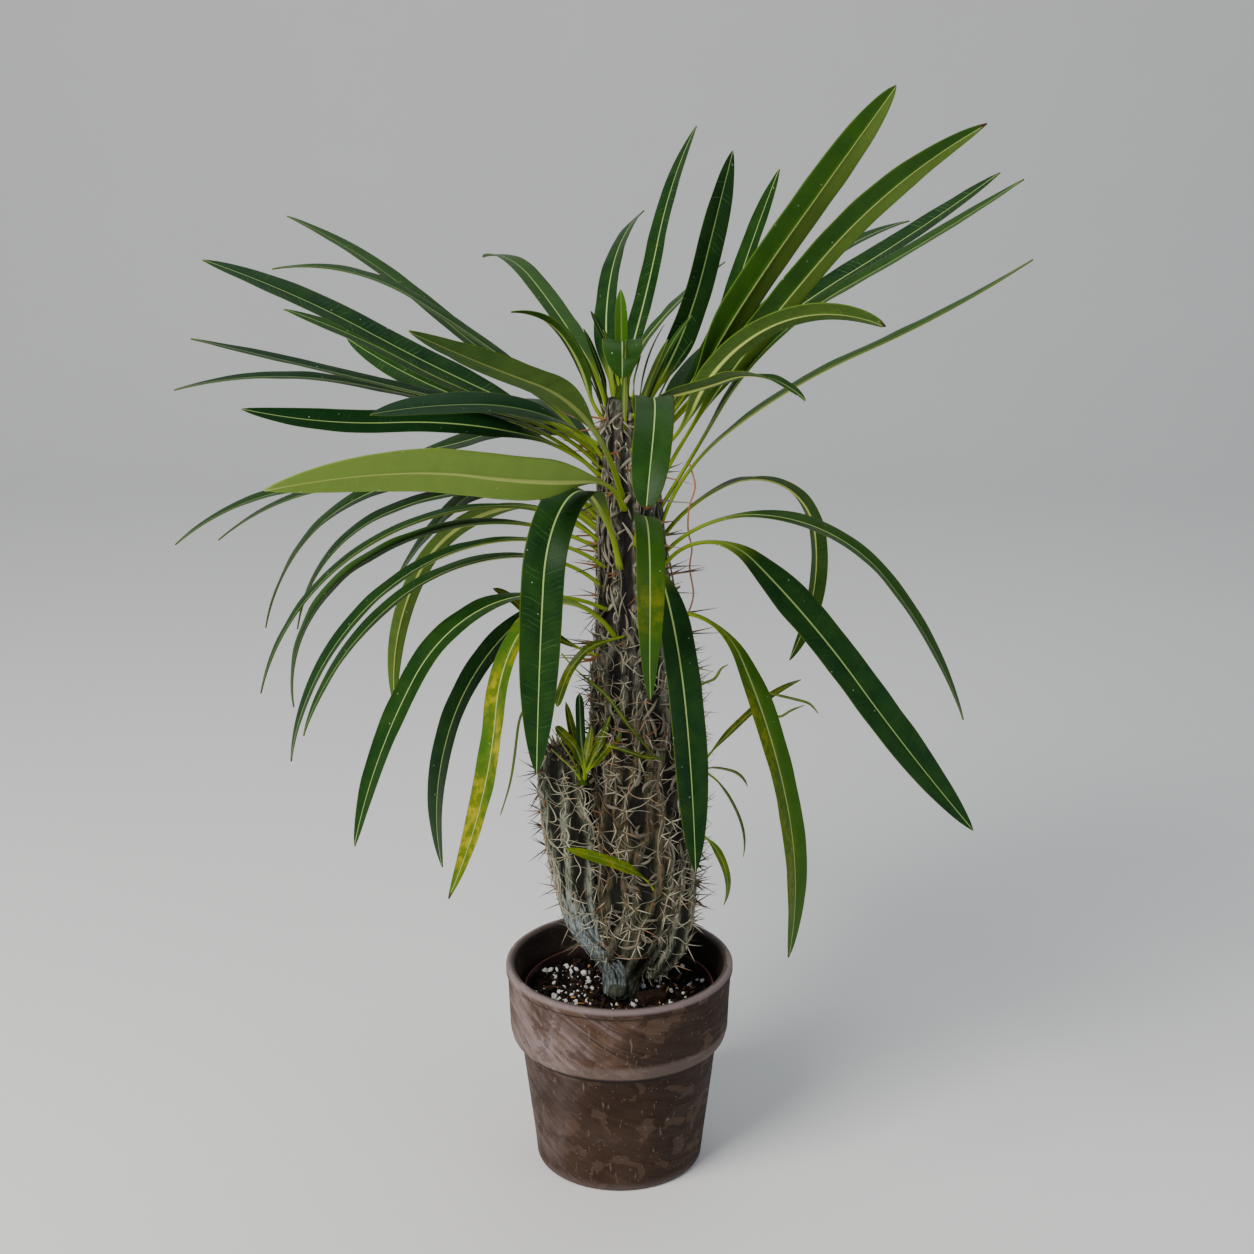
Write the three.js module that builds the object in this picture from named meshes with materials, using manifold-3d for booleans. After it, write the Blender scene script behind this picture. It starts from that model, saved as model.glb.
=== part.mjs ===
// Madagascar palm standing in a clay pot.
// Millimetres, +Z up, origin at the centre of the pot's underside. -Y is the front.
import * as THREE from 'three';
import { mergeVertices } from 'three/addons/utils/BufferGeometryUtils.js';
import Module from 'manifold-3d';

const wasm = await Module();
wasm.setup();

// ---------------------------------------------------------------- driving dimensions

const GAP = 0.3;                   // clearance between pieces that touch
const POT_SIDES = 36;              // facets round the pots and the soil, alike so that they nest

// Clay pot
const POT_HEIGHT = 160;
const POT_RIM_RADIUS = 85;
const POT_BASE_RADIUS = 62.5;
const POT_COLLAR_HEIGHT = 62;
const POT_BODY_TOP_RADIUS = 73.8;  // just under the collar
const POT_COLLAR_STEP = 8.2;       // how far the collar stands out over the body
const POT_BEAD_HEIGHT = 7;         // bead round the lip
const POT_WALL = 6.5;
const POT_FLOOR = 8;
const DRAIN_RADIUS = 4.5;
const DRAIN_CIRCLE = 30;           // the drain holes lie round the middle of the floor
const DRAIN_COUNT = 3;

// Nursery pot inside the clay pot
const NURSERY_TOP = 139;
const NURSERY_TOP_RADIUS = 71.5;
const NURSERY_BASE_RADIUS = 46;
const NURSERY_WALL = 1.4;
const NURSERY_BASE = POT_FLOOR + GAP;
const NURSERY_HOLE_COUNT = 4;

// Soil
const SOIL_LEVEL = 133;
const SOIL_ROUGHNESS = 1.2;
const PERLITE_COUNT = 26;
const PERLITE_RADIUS = [1.6, 3];
const PERLITE_REACH = [27, 64];    // from the pot's axis
const BARK_CHUNK = { length: 24, depth: 13, height: 18, turn: 0.35, x: 24, y: -15.5 };

// Stem: [height, centre x, centre y, radius] up each column
const TRUNK = [
  [70, 2, 0, 8], [100, 2, 0, 10], [134, 2, 0, 12.5], [150, 4, 0, 15], [175, 10, 0, 29],
  [208, 17, 0, 34], [240, 18.5, 0, 36], [264, 19, 0, 36.5], [319, 18, 0, 36.5], [365, 16, 0, 35],
  [400, 14, 0, 32], [420, 13.5, 0, 30], [440, 12.5, 0, 27.5], [484, 8.5, 0, 23], [520, 7, 0, 20.5],
  [550, 5, 0, 18], [575, 3, 0, 14], [585, 2.5, 0, 9],
];
const LEFT_ARM = [
  [145, -1, 0, 9], [167, -9, -2, 14], [192, -22, -3, 16.5], [224, -29, -4, 18], [264, -34, -4, 20],
  [304, -39, -3, 18], [322, -42, -2, 13], [331, -43, -2, 6],
];
const RIGHT_ARM = [
  [150, 25, -10, 5], [160, 30, -11, 10], [178, 38, -12, 12], [208, 43, -12, 13],
  [240, 44, -11, 12.5], [270, 41, -9, 12], [300, 36, -6, 9],
];
const FOOT_NUB = { x: -1, y: -14, z: 141, radius: 7.5, squash: 0.8 };
const HOLE_RADIUS = 13.4;          // plain hole in the soil, round the stem's foot
const SOIL_LINE_ON_TRUNK = 2;      // index in TRUNK of the ring at the soil

// Tubercles and spines
const GOLDEN_ANGLE = Math.PI * (3 - Math.sqrt(5));
const TUBERCLE_REACH = 12;
const TUBERCLE_HEIGHT = 2.2;
const TUBERCLE_STRETCH = 1.5;      // taller than wide
const TRUNK_TUBERCLES = { count: 104, from: 168, to: 572 };
const LEFT_ARM_TUBERCLES = { count: 24, from: 172, to: 322 };
const RIGHT_ARM_TUBERCLES = { count: 14, from: 166, to: 280 };
const RING_RISE = 13;              // between the rings of a column's skin
const TRUNK_SIDES = 24;
const LEFT_ARM_SIDES = 14;
const RIGHT_ARM_SIDES = 10;
const SPINE_LENGTH = [10, 17];
const SPINE_RADIUS = 0.85;
const SPINE_SPREAD = 0.55;         // half the angle between the two spines of a tubercle, radians
const SPINE_CLIMB = [-0.15, 0.55]; // radians over the horizontal
const SPINE_SINK = 3;
const SPINE_ROOM = 0.6;            // room that a spine leaves to the leaves round it

// Leaves
const BLADE_EDGE = 0.7;            // thickness at the blade's edge
const BLADE_MIDDLE = 1.7;          // thickness at the midrib
const BLADE_FOLD = 0.10;           // rise of the edges over the midrib, share of the half width
const PETIOLE_WIDTH = 4.2;
const PETIOLE_THICKNESS = 3.2;
const YOUNG_PETIOLE_WIDTH = 2.4;
const LEAF_TIP_WIDTH = 1.2;
const LEAF_ROOT_DEPTH = 1.5;       // where a leaf's line starts, inside the stem's surface
const BLADE_FULL = 0.38;           // share of a leaf's length at which its blade is full-width
const BLADE_GROWTH = 0.33;         // share of its length over which the blade widens
const LONG_STALKED = { leaf_left_13: 0.55, leaf_left_14: 0.44 }; // these are full-width later
const LEAF_STEPS = 60;             // steps along a leaf's line
const LEAF_STATIONS = [0, 0.1, 0.22, 0.36, 0.52, 0.68, 0.82, 0.94, 1];
const YOUNG_LEAF_STATIONS = [0, 0.25, 0.5, 0.8, 1];
const CLIMB_STATIONS = [0, 0.25, 0.6, 1];

// One row a leaf: name, height of its root, direction it faces (degrees, 0 is +X, 90 is +Y, the back),
// turn along its length, length, width, climb in degrees at root, quarter, 3/5 and tip, roll of its blade.
const LEAVES = [
  ['leaf_right_01', 554, 359, 0, 290, 27, [50, 60, 55, 55], 65],
  ['leaf_right_02', 520, 352, 0, 335, 25, [65, 55, 50, 30], 55],
  ['leaf_right_03', 552, 39, 5, 225, 22, [35, 45, 65, 60], 10],
  ['leaf_right_04', 566, 55, 0, 220, 22, [35, 45, 65, 65], -65],
  ['leaf_right_05', 548, 10, 0, 310, 24, [55, 40, 30, 35], -15],
  ['leaf_right_06', 505, 357, -3, 340, 23, [60, 60, 30, 35], -10],
  ['leaf_right_07', 551, 23, 5, 260, 20, [35, 50, 35, 10], 0],
  ['leaf_right_08', 544, 335, 0, 215, 20, [35, 65, 30, -20], 42],
  ['leaf_right_09', 574, 300, 0, 215, 20, [35, 15, 20, -20], 10],
  ['leaf_right_10', 493, 354, 0, 320, 20, [75, 40, 25, 35], 0],
  ['leaf_left_01', 562, 125, -10, 240, 20, [70, 35, 25, -15], -5],
  ['leaf_left_02', 570, 199, 0, 110, 16, [50, 75, 55, 0], -15],
  ['leaf_left_03', 526, 153, 5, 310, 24, [65, 30, 35, 20], 0],
  ['leaf_left_04', 557, 168, 0, 270, 20, [40, 35, 30, -10], 0],
  ['leaf_left_05', 544, 186, 0, 300, 26, [40, 25, 30, 20], 25],
  ['leaf_left_06', 541, 163, 0, 260, 22, [50, 10, 25, 15], 10],
  ['leaf_left_07', 545, 139, 0, 275, 24, [25, 0, 10, 20], 25],
  ['leaf_left_08', 536, 187, 0, 295, 20, [50, 15, 15, 15], 5],
  ['leaf_left_09', 528, 177, 0, 315, 20, [50, 15, 10, -15], 5],
  ['leaf_left_10', 531, 191, 0, 255, 24, [45, 15, 0, 15], 30],
  ['leaf_left_11', 543, 207, 0, 185, 24, [60, 25, 5, -5], 25],
  ['leaf_left_12', 535, 134, 0, 225, 22, [35, 0, -20, -15], 35],
  ['leaf_left_13', 518, 257, -30, 300, 26, [50, 40, 20, 25], -25],
  ['leaf_left_14', 511, 259, -50, 360, 31, [40, 10, 15, -5], -65],
  ['leaf_low_left_01', 498, 179, 0, 320, 22, [50, -5, 0, -40], 5],
  ['leaf_low_left_02', 501, 166, 5, 305, 20, [40, -5, -5, -40], 5],
  ['leaf_low_left_03', 495, 159, -5, 350, 22, [25, 5, -30, -75], 25],
  ['leaf_low_left_04', 492, 182, 0, 270, 22, [45, 5, -25, -80], 5],
  ['leaf_low_left_05', 484, 198, 0, 305, 18, [45, 5, -30, -75], -5],
  ['leaf_low_left_06', 478, 195, 0, 295, 22, [35, 5, -30, -95], 0],
  ['leaf_low_left_07', 468, 210, 0, 310, 24, [40, 5, -35, -80], -10],
  ['leaf_low_left_08', 453, 202, 0, 275, 22, [45, 5, -35, -70], -5],
  ['leaf_low_left_09', 484, 150, -5, 230, 22, [35, 15, -40, -55], 40],
  ['leaf_low_left_10', 477, 158, 0, 290, 14, [50, -10, -60, -95], -60],
  ['leaf_low_left_11', 438, 217, 0, 295, 25, [30, 5, -55, -75], 0],
  ['leaf_low_left_12', 428, 204, 0, 265, 25, [55, -35, -70, -100], 10],
  ['leaf_low_left_13', 420, 236, 10, 315, 23, [50, 15, -80, -35], -25],
  ['leaf_front_01', 469, 247, 5, 315, 28, [70, 35, -80, -85], 10],
  ['leaf_front_02', 551, 287, -30, 200, 25, [35, 45, -15, -70], 0],
  ['leaf_front_03', 485, 279, -15, 215, 20, [60, 15, -60, -120], 20],
  ['leaf_front_04', 453, 285, -5, 260, 25, [70, -35, -65, -80], 15],
  ['leaf_low_right_01', 483, 14, 0, 250, 22, [55, 20, -80, -120], 15],
  ['leaf_low_right_02', 475, 352, 0, 295, 22, [50, 0, -50, -70], -10],
  ['leaf_low_right_03', 467, 335, 0, 315, 28, [60, -40, -50, -45], -35],
  ['leaf_low_right_04', 434, 322, 0, 295, 24, [25, -60, -75, -100], -5],
  ['leaf_back_01', 570, 86, -25, 275, 20, [55, 25, 55, 40], 30],
  ['leaf_back_02', 568, 105, -40, 235, 20, [45, 35, 35, 15], 35],
  ['leaf_back_03', 472, 92, 0, 270, 24, [30, -5, -45, -75], 0],
  ['leaf_back_04', 512, 118, 0, 265, 24, [45, 15, -5, -20], 0],
  ['leaf_back_05', 528, 62, 0, 250, 24, [50, 30, 12, -10], 0],
];

// Young leaves fused into one small rosette each. The rows are those of LEAVES without name and root height.
const CROWN_BUD = {
  name: 'crown_bud', x: 2.5, y: 0, z: 584, radius: 7, height: 20,
  leaves: [
    [98, 0, 66, 9, [88, 88, 86, 84], 0],
    [270, 0, 76, 27, [88, 88, -10, -85], 0],
    [225, 0, 44, 6, [80, 74, 68, 60], 10],
    [64, 0, 190, 14, [52, 22, 15, 10], 25],
    [10, 0, 52, 7, [72, 66, 58, 50], 0],
    [140, 0, 56, 8, [76, 68, 60, 52], 0],
  ],
};
const LEFT_SHOOT = {
  name: 'left_shoot', x: -26, y: -20, z: 308, radius: 5, height: 9,
  leaves: [
    [200, 0, 46, 6, [80, 65, 58, 60], 0],
    [160, 0, 58, 7, [88, 80, 76, 80], 30],
    [300, 0, 46, 6, [86, 76, 72, 74], 20],
    [340, 0, 48, 8, [84, 70, 64, 66], 20],
    [215, 0, 38, 5, [60, 50, 45, 50], 0],
  ],
};
const RIGHT_SHOOT = {
  name: 'right_shoot', x: 56, y: -9, z: 311, radius: 4.5, height: 8,
  leaves: [
    [10, 0, 100, 8, [60, 45, 42, 20], -15],
    [340, 0, 42, 5, [30, 5, -10, -70], 0],
    [330, 0, 78, 4, [0, -45, -65, -100], 0],
  ],
};
const SINGLE_SHOOT_LEAVES = [
  { name: 'trunk_leaf_front', x: 25, y: -35, z: 232, facing: 205, turn: -25, length: 77, width: 9,
    climb: [65, 35, 22, 18], roll: 40 },
  { name: 'trunk_leaf_right', x: 55, y: -14, z: 268, facing: 330, turn: 20, length: 66, width: 8,
    climb: [0, -50, -75, -110], roll: -20 },
];

// ---------------------------------------------------------------- materials

const material = (color, roughness) => new THREE.MeshStandardMaterial({ color, roughness, metalness: 0 });
const CLAY = material(0x6b5652, 0.9);
const NURSERY_PLASTIC = material(0x3a1f1a, 0.55);
const SOIL_MIX = material(0x1c1713, 1);
const BARK = material(0x5c5546, 0.9);
const LEAF_GREEN = material(0x24481a, 0.45);
const YOUNG_GREEN = material(0x4f6f22, 0.5);
const YELLOWING = material(0x8b8a1c, 0.55);

// ---------------------------------------------------------------- helpers

const { clamp, lerp, smoothstep, degToRad: radians } = THREE.MathUtils;

// Mulberry32, so that every draw is the same each time.
function seededRandom(seed) {
  let state = seed;
  return () => {
    state = (state + 0x6d2b79f5) | 0;
    let mixed = Math.imul(state ^ (state >>> 15), 1 | state);
    mixed = (mixed + Math.imul(mixed ^ (mixed >>> 7), 61 | mixed)) ^ mixed;
    return ((mixed ^ (mixed >>> 14)) >>> 0) / 4294967296;
  };
}

function solidOf(geometry) {
  const bare = geometry.clone();
  bare.deleteAttribute('normal');
  bare.deleteAttribute('uv');
  const merged = mergeVertices(bare, 1e-4);
  return new wasm.Manifold(new wasm.Mesh({
    numProp: 3,
    vertProperties: merged.attributes.position.array,
    triVerts: new Uint32Array(merged.index.array),
  }));
}

function geometryOf(solid) {
  const { vertProperties, triVerts } = solid.getMesh();
  const geometry = new THREE.BufferGeometry();
  geometry.setAttribute('position', new THREE.BufferAttribute(vertProperties, 3));
  geometry.setIndex(new THREE.BufferAttribute(triVerts, 1));
  geometry.computeVertexNormals();
  return geometry;
}

const joined = (solids) => solids.reduce((sum, solid) => sum.add(solid));

function largestBody(solid) {
  return solid.decompose().reduce((a, b) => (b.volume() > a.volume() ? b : a));
}

function meshOf(name, solid, look) {
  const mesh = new THREE.Mesh(geometryOf(solid), look);
  mesh.name = name;
  return mesh;
}

// A closed skin over rings of points that run counterclockwise round the direction of travel.
// The second half of each ring is split the other way, so that both faces of a blade bend alike.
function loft(rings) {
  const count = rings[0].length;
  const positions = rings.flat().flatMap((point) => point.toArray());
  const index = [];
  for (let i = 0; i + 1 < rings.length; i++) {
    for (let j = 0; j < count; j++) {
      const a = i * count + j;
      const b = i * count + ((j + 1) % count);
      const c = b + count;
      const d = a + count;
      if (j < count / 2) index.push(a, b, c, a, c, d);
      else index.push(a, b, d, b, c, d);
    }
  }
  const last = (rings.length - 1) * count;
  for (let j = 1; j + 1 < count; j++) {
    index.push(0, j + 1, j);
    index.push(last, last + j, last + j + 1);
  }
  const geometry = new THREE.BufferGeometry();
  geometry.setAttribute('position', new THREE.Float32BufferAttribute(positions, 3));
  geometry.setIndex(index);
  return solidOf(geometry);
}

function lathe(profile) {
  const points = profile.map(([radius, height]) => new THREE.Vector2(radius, height));
  return solidOf(new THREE.LatheGeometry(points, POT_SIDES).rotateX(Math.PI / 2));
}

// A row of numbers read off between the rows of a list whose first entries rise.
function between(rows, at) {
  const next = Math.max(1, rows.findIndex((row) => row[0] >= at));
  const above = at > rows[rows.length - 1][0] ? rows.length - 1 : next;
  const below = rows[above - 1];
  const share = clamp((at - below[0]) / (rows[above][0] - below[0]), 0, 1);
  return rows[above].map((value, k) => lerp(below[k], value, share));
}

// A point at reach and angle round x, y.
function polar({ x, y }, reach, angle, z) {
  return new THREE.Vector3(x + reach * Math.cos(angle), y + reach * Math.sin(angle), z);
}

// The unit vector with this heading and climb, in radians.
function aim(heading, climb) {
  const level = Math.cos(climb);
  return new THREE.Vector3(level * Math.cos(heading), level * Math.sin(heading), Math.sin(climb));
}

function circle(radius, count, centre, radiusAt = () => 0) {
  return Array.from({ length: count }, (_, k) => {
    const angle = (2 * Math.PI * k) / count;
    return polar(centre, radius + radiusAt(angle), angle, centre.z);
  });
}

// ---------------------------------------------------------------- pots and soil

function holesThrough(solid, count, radius, circleRadius, turn) {
  let drilled = solid;
  for (let k = 0; k < count; k++) {
    const angle = turn + (2 * Math.PI * k) / count;
    const drill = new THREE.CylinderGeometry(radius, radius, 30, 12).rotateX(Math.PI / 2);
    drill.translate(circleRadius * Math.cos(angle), circleRadius * Math.sin(angle), 0);
    drilled = drilled.subtract(solidOf(drill));
  }
  return drilled;
}

function clayPot() {
  const crease = POT_HEIGHT - POT_COLLAR_HEIGHT;
  const bodyTop = POT_BODY_TOP_RADIUS;
  const collarFoot = bodyTop + POT_COLLAR_STEP;
  const inner = POT_RIM_RADIUS - POT_WALL;
  const base = POT_BASE_RADIUS - POT_WALL;
  const profile = [
    [0, 0], [POT_BASE_RADIUS - 3, 0], [POT_BASE_RADIUS, 3],
    [bodyTop, crease - 0.5], [bodyTop + 1, crease + 1],
    [collarFoot - 2, crease + 5], [collarFoot, crease + 12],
    [POT_RIM_RADIUS - 1, POT_HEIGHT - POT_BEAD_HEIGHT], [POT_RIM_RADIUS, POT_HEIGHT - POT_BEAD_HEIGHT + 1.5],
    [POT_RIM_RADIUS, POT_HEIGHT - 2], [POT_RIM_RADIUS - 1.8, POT_HEIGHT], [inner + 1.5, POT_HEIGHT],
    [inner, POT_HEIGHT - 2], [inner - 2.5, crease + 14],
    [bodyTop - 5, crease - 1], [base, POT_FLOOR + 2], [base - 2, POT_FLOOR], [0, POT_FLOOR],
  ];
  return holesThrough(lathe(profile), DRAIN_COUNT, DRAIN_RADIUS, DRAIN_CIRCLE, Math.PI / 6);
}

function nurseryRadius(height) {
  const share = (height - NURSERY_BASE) / (NURSERY_TOP - NURSERY_BASE);
  return lerp(NURSERY_BASE_RADIUS, NURSERY_TOP_RADIUS, share);
}

function nurseryPot() {
  const floor = NURSERY_BASE + NURSERY_WALL;
  const profile = [
    [0, NURSERY_BASE], [NURSERY_BASE_RADIUS, NURSERY_BASE],
    [NURSERY_TOP_RADIUS, NURSERY_TOP], [NURSERY_TOP_RADIUS - NURSERY_WALL, NURSERY_TOP],
    [nurseryRadius(floor) - NURSERY_WALL, floor], [0, floor],
  ];
  return holesThrough(lathe(profile), NURSERY_HOLE_COUNT, DRAIN_RADIUS, DRAIN_CIRCLE, Math.PI / 4);
}

function soilHeight(x, y) {
  return SOIL_LEVEL + SOIL_ROUGHNESS * (Math.sin(0.21 * x + 1.1) * Math.cos(0.17 * y - 0.4)
    + 0.5 * Math.sin(0.09 * x - 0.23 * y)) / 1.5;
}

function soil(stemHole) {
  const wallOffset = NURSERY_WALL + GAP + 0.05;
  const bottom = NURSERY_BASE + NURSERY_WALL + GAP;
  const edge = nurseryRadius(SOIL_LEVEL - 1) - wallOffset;
  const rings = [circle(nurseryRadius(bottom) - wallOffset, POT_SIDES, { x: 0, y: 0, z: bottom })];
  for (const radius of [edge, edge - 3, 48, 30, 12]) {
    const ring = circle(radius, POT_SIDES, { x: 0, y: 0, z: SOIL_LEVEL - 1 });
    if (radius < edge) for (const point of ring) point.z = soilHeight(point.x, point.y);
    rings.push(ring);
  }
  const random = seededRandom(7);
  let mix = loft(rings);
  const chunk = new THREE.BoxGeometry(BARK_CHUNK.length, BARK_CHUNK.depth, BARK_CHUNK.height);
  chunk.rotateZ(BARK_CHUNK.turn).translate(BARK_CHUNK.x, BARK_CHUNK.y, SOIL_LEVEL - 1);
  mix = mix.add(solidOf(chunk));
  for (let k = 0; k < PERLITE_COUNT; k++) {
    const angle = k * GOLDEN_ANGLE;
    const reach = lerp(...PERLITE_REACH, Math.sqrt((k + random()) / PERLITE_COUNT));
    const size = lerp(...PERLITE_RADIUS, random());
    const grain = new THREE.OctahedronGeometry(size).rotateZ(6 * random()).rotateX(3 * random());
    const [x, y] = [reach * Math.cos(angle), reach * Math.sin(angle)];
    grain.translate(x, y, soilHeight(x, y) + 0.25 * size);
    mix = mix.add(solidOf(grain));
  }
  return largestBody(mix.subtract(stemHole));
}

// ---------------------------------------------------------------- stem

// Tubercles climb a column in a golden-angle spiral.
function tuberclesOn(column, { count, from, to }) {
  return Array.from({ length: count }, (_, k) => {
    const height = lerp(from, to, (k + 0.5) / count);
    const [, x, y, radius] = between(column, height);
    return { height, angle: (k * GOLDEN_ANGLE) % (2 * Math.PI), x, y, radius };
  });
}

function tubercleRelief(tubercles, angle, height, radius) {
  let relief = 0;
  for (const tubercle of tubercles) {
    const turn = Math.abs(angle - tubercle.angle) % (2 * Math.PI);
    const across = radius * Math.min(turn, 2 * Math.PI - turn);
    const up = (height - tubercle.height) / TUBERCLE_STRETCH;
    const reach = Math.hypot(across, up) / TUBERCLE_REACH;
    relief = Math.max(relief, TUBERCLE_HEIGHT * (1 - reach * reach));
  }
  return relief;
}

// The skin of one column: rings of sides facets with its tubercles, grown by extra.
function columnSolid(column, tubercles, sides, extra) {
  const bottom = column[0][0];
  const top = column[column.length - 1][0];
  const count = Math.round((top - bottom) / RING_RISE);
  const rings = Array.from({ length: count + 1 }, (_, k) => {
    const z = lerp(bottom, top, k / count);
    const [, x, y, radius] = between(column, z);
    const relief = (angle) => tubercleRelief(tubercles, angle, z, radius);
    return circle(radius + extra, sides, { x, y, z: z + (k === count ? extra : 0) }, relief);
  });
  return loft(rings);
}

function spine(base, direction, length, radius) {
  const cone = new THREE.ConeGeometry(radius, length + SPINE_SINK, 3, 1);
  cone.translate(0, (length + SPINE_SINK) / 2 - SPINE_SINK, 0);
  const turn = new THREE.Quaternion().setFromUnitVectors(new THREE.Vector3(0, 1, 0), direction);
  cone.applyQuaternion(turn).translate(base.x, base.y, base.z);
  return solidOf(cone);
}

// Two spines on each tubercle, left out where a leaf, a pot or the soil is in the way.
function spinesOn(tubercles, random, obstacles) {
  const spines = [];
  for (const { height, angle, x, y, radius } of tubercles) {
    const base = polar({ x, y }, radius + TUBERCLE_HEIGHT * 0.8, angle, height);
    for (const side of [-1, 1]) {
      const heading = angle + side * SPINE_SPREAD * (0.7 + 0.6 * random());
      const climb = lerp(...SPINE_CLIMB, random());
      const direction = aim(heading, climb);
      const length = lerp(...SPINE_LENGTH, random());
      const probe = spine(base, direction, length + 2 * SPINE_ROOM, SPINE_RADIUS + SPINE_ROOM);
      if (probe.intersect(obstacles).isEmpty()) spines.push(spine(base, direction, length, SPINE_RADIUS));
    }
  }
  return spines;
}

const TRUNK_MARKS = tuberclesOn(TRUNK, TRUNK_TUBERCLES);
const LEFT_MARKS = tuberclesOn(LEFT_ARM, LEFT_ARM_TUBERCLES);
const RIGHT_MARKS = tuberclesOn(RIGHT_ARM, RIGHT_ARM_TUBERCLES);

function stemBody(extra) {
  const { x, y, z, radius, squash } = FOOT_NUB;
  const nub = new THREE.SphereGeometry(radius, 10, 6).rotateX(Math.PI / 2);
  nub.scale(1, 1, squash).translate(x, y, z);
  return joined([
    columnSolid(TRUNK, TRUNK_MARKS, TRUNK_SIDES, extra),
    columnSolid(LEFT_ARM, LEFT_MARKS, LEFT_ARM_SIDES, extra),
    columnSolid(RIGHT_ARM, RIGHT_MARKS, RIGHT_ARM_SIDES, extra),
    solidOf(nub),
  ]);
}

function stem(obstacles) {
  const random = seededRandom(23);
  const marks = [TRUNK_MARKS, LEFT_MARKS, RIGHT_MARKS];
  const spines = marks.flatMap((tubercles) => spinesOn(tubercles, random, obstacles));
  return largestBody(joined([stemBody(0), ...spines]));
}

function stemHole() {
  const [bottom, x, y] = TRUNK[0];
  const ring = (z, centreX) => circle(HOLE_RADIUS, 28, { x: centreX, y, z });
  const soilLine = TRUNK[SOIL_LINE_ON_TRUNK];
  return loft([ring(bottom - GAP, x), ring(soilLine[0], soilLine[1]), ring(soilLine[0] + 20, soilLine[1])]);
}

// ---------------------------------------------------------------- leaves

// Width of a leaf along its length, as a share of its widest: a petiole, a long blade and a pointed tip.
function bladeShare(t, full) {
  const tip = clamp((t - 0.62) / 0.38, 0, 1);
  return smoothstep(t, full - BLADE_GROWTH, full) * (1 - tip ** 2.6) ** 0.75;
}

// Direction of travel, sideways and upper side of a leaf at t, which runs from 0 at its root to 1 at its tip.
function leafFrame(leaf, t) {
  const heading = radians(leaf.facing + leaf.turn * t);
  const climbs = CLIMB_STATIONS.map((station, k) => [station, leaf.climb[k]]);
  const climb = radians(between(climbs, t)[1]);
  const along = aim(heading, climb);
  const side = new THREE.Vector3(-Math.sin(heading), Math.cos(heading), 0);
  const roll = radians(leaf.roll) * smoothstep(t, 0.05, 0.4);
  side.applyAxisAngle(along, -roll);
  return { along, side, upper: along.clone().cross(side) };
}

function leafSection(leaf, centre, frame, t) {
  const share = bladeShare(t, leaf.full ?? BLADE_FULL);
  const half = Math.max(leaf.width * share, t < 0.5 ? leaf.petiole : LEAF_TIP_WIDTH) / 2;
  const blade = smoothstep(t, 0.05, 0.3);
  const slimness = leaf.petiole / PETIOLE_WIDTH;
  const thick = (petiole, finished) => lerp(petiole * slimness, finished, blade);
  const edge = thick(PETIOLE_THICKNESS / 2, BLADE_EDGE) / 2;
  const middle = thick(PETIOLE_THICKNESS, t < 1 ? BLADE_MIDDLE : BLADE_EDGE) / 2;
  const lift = half * BLADE_FOLD * blade * share;
  const point = (across, up) => centre.clone()
    .addScaledVector(frame.side, across)
    .addScaledVector(frame.upper, up);
  return [
    point(half, lift - edge), point(half, lift + edge), point(0, middle * 0.6),
    point(-half, lift + edge), point(-half, lift - edge), point(0, -middle),
  ];
}

// A leaf from root, whose first section lies rootDepth further back, inside what it grows from.
function leafSolid(leaf, root, rootDepth, stations) {
  const buried = root.clone().addScaledVector(aim(radians(leaf.facing), 0), -rootDepth);
  const rings = [leafSection(leaf, buried, leafFrame(leaf, 0), 0)];
  const centre = root.clone();
  const step = leaf.length / LEAF_STEPS;
  let station = 0;
  for (let k = 0; k <= LEAF_STEPS; k++) {
    if (k > 0) centre.addScaledVector(leafFrame(leaf, (k - 0.5) / LEAF_STEPS).along, step);
    if (k === Math.round(stations[station] * LEAF_STEPS)) {
      rings.push(leafSection(leaf, centre, leafFrame(leaf, k / LEAF_STEPS), k / LEAF_STEPS));
      station++;
    }
  }
  return loft(rings);
}

function stemLeaf(row) {
  const [name, height, facing, turn, length, width, climb, roll] = row;
  const leaf = { facing, turn, length, width, climb, roll, petiole: PETIOLE_WIDTH, full: LONG_STALKED[name] };
  const [, x, y, radius] = between(TRUNK, height);
  const root = polar({ x, y }, radius - LEAF_ROOT_DEPTH, radians(facing), height);
  return { name, solid: leafSolid(leaf, root, 3, LEAF_STATIONS) };
}

// A small bud with young leaves fused to it.
function rosette({ name, x, y, z, radius, height, leaves }) {
  const cone = new THREE.CylinderGeometry(radius * 0.45, radius, height, 10).rotateX(Math.PI / 2);
  const bud = solidOf(cone.translate(x, y, z + height / 2));
  const young = leaves.map(([facing, turn, length, width, climb, roll]) => {
    const leaf = { facing, turn, length, width, climb, roll, petiole: YOUNG_PETIOLE_WIDTH };
    const root = polar({ x, y }, radius * 0.4, radians(facing), z + height * 0.45);
    return leafSolid(leaf, root, 1, YOUNG_LEAF_STATIONS);
  });
  return { name, solid: joined([bud, ...young]) };
}

function singleShootLeaf({ name, x, y, z, ...leaf }) {
  const root = new THREE.Vector3(x, y, z);
  return { name, solid: leafSolid({ ...leaf, petiole: YOUNG_PETIOLE_WIDTH }, root, 4, LEAF_STATIONS) };
}

// ---------------------------------------------------------------- assembly

const grownStem = stemBody(GAP);
const foliage = [
  ...LEAVES.map(stemLeaf),
  ...[CROWN_BUD, LEFT_SHOOT, RIGHT_SHOOT].map(rosette),
  ...SINGLE_SHOOT_LEAVES.map(singleShootLeaf),
].map(({ name, solid }) => ({ name, solid: largestBody(solid.subtract(grownStem)) }));

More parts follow.
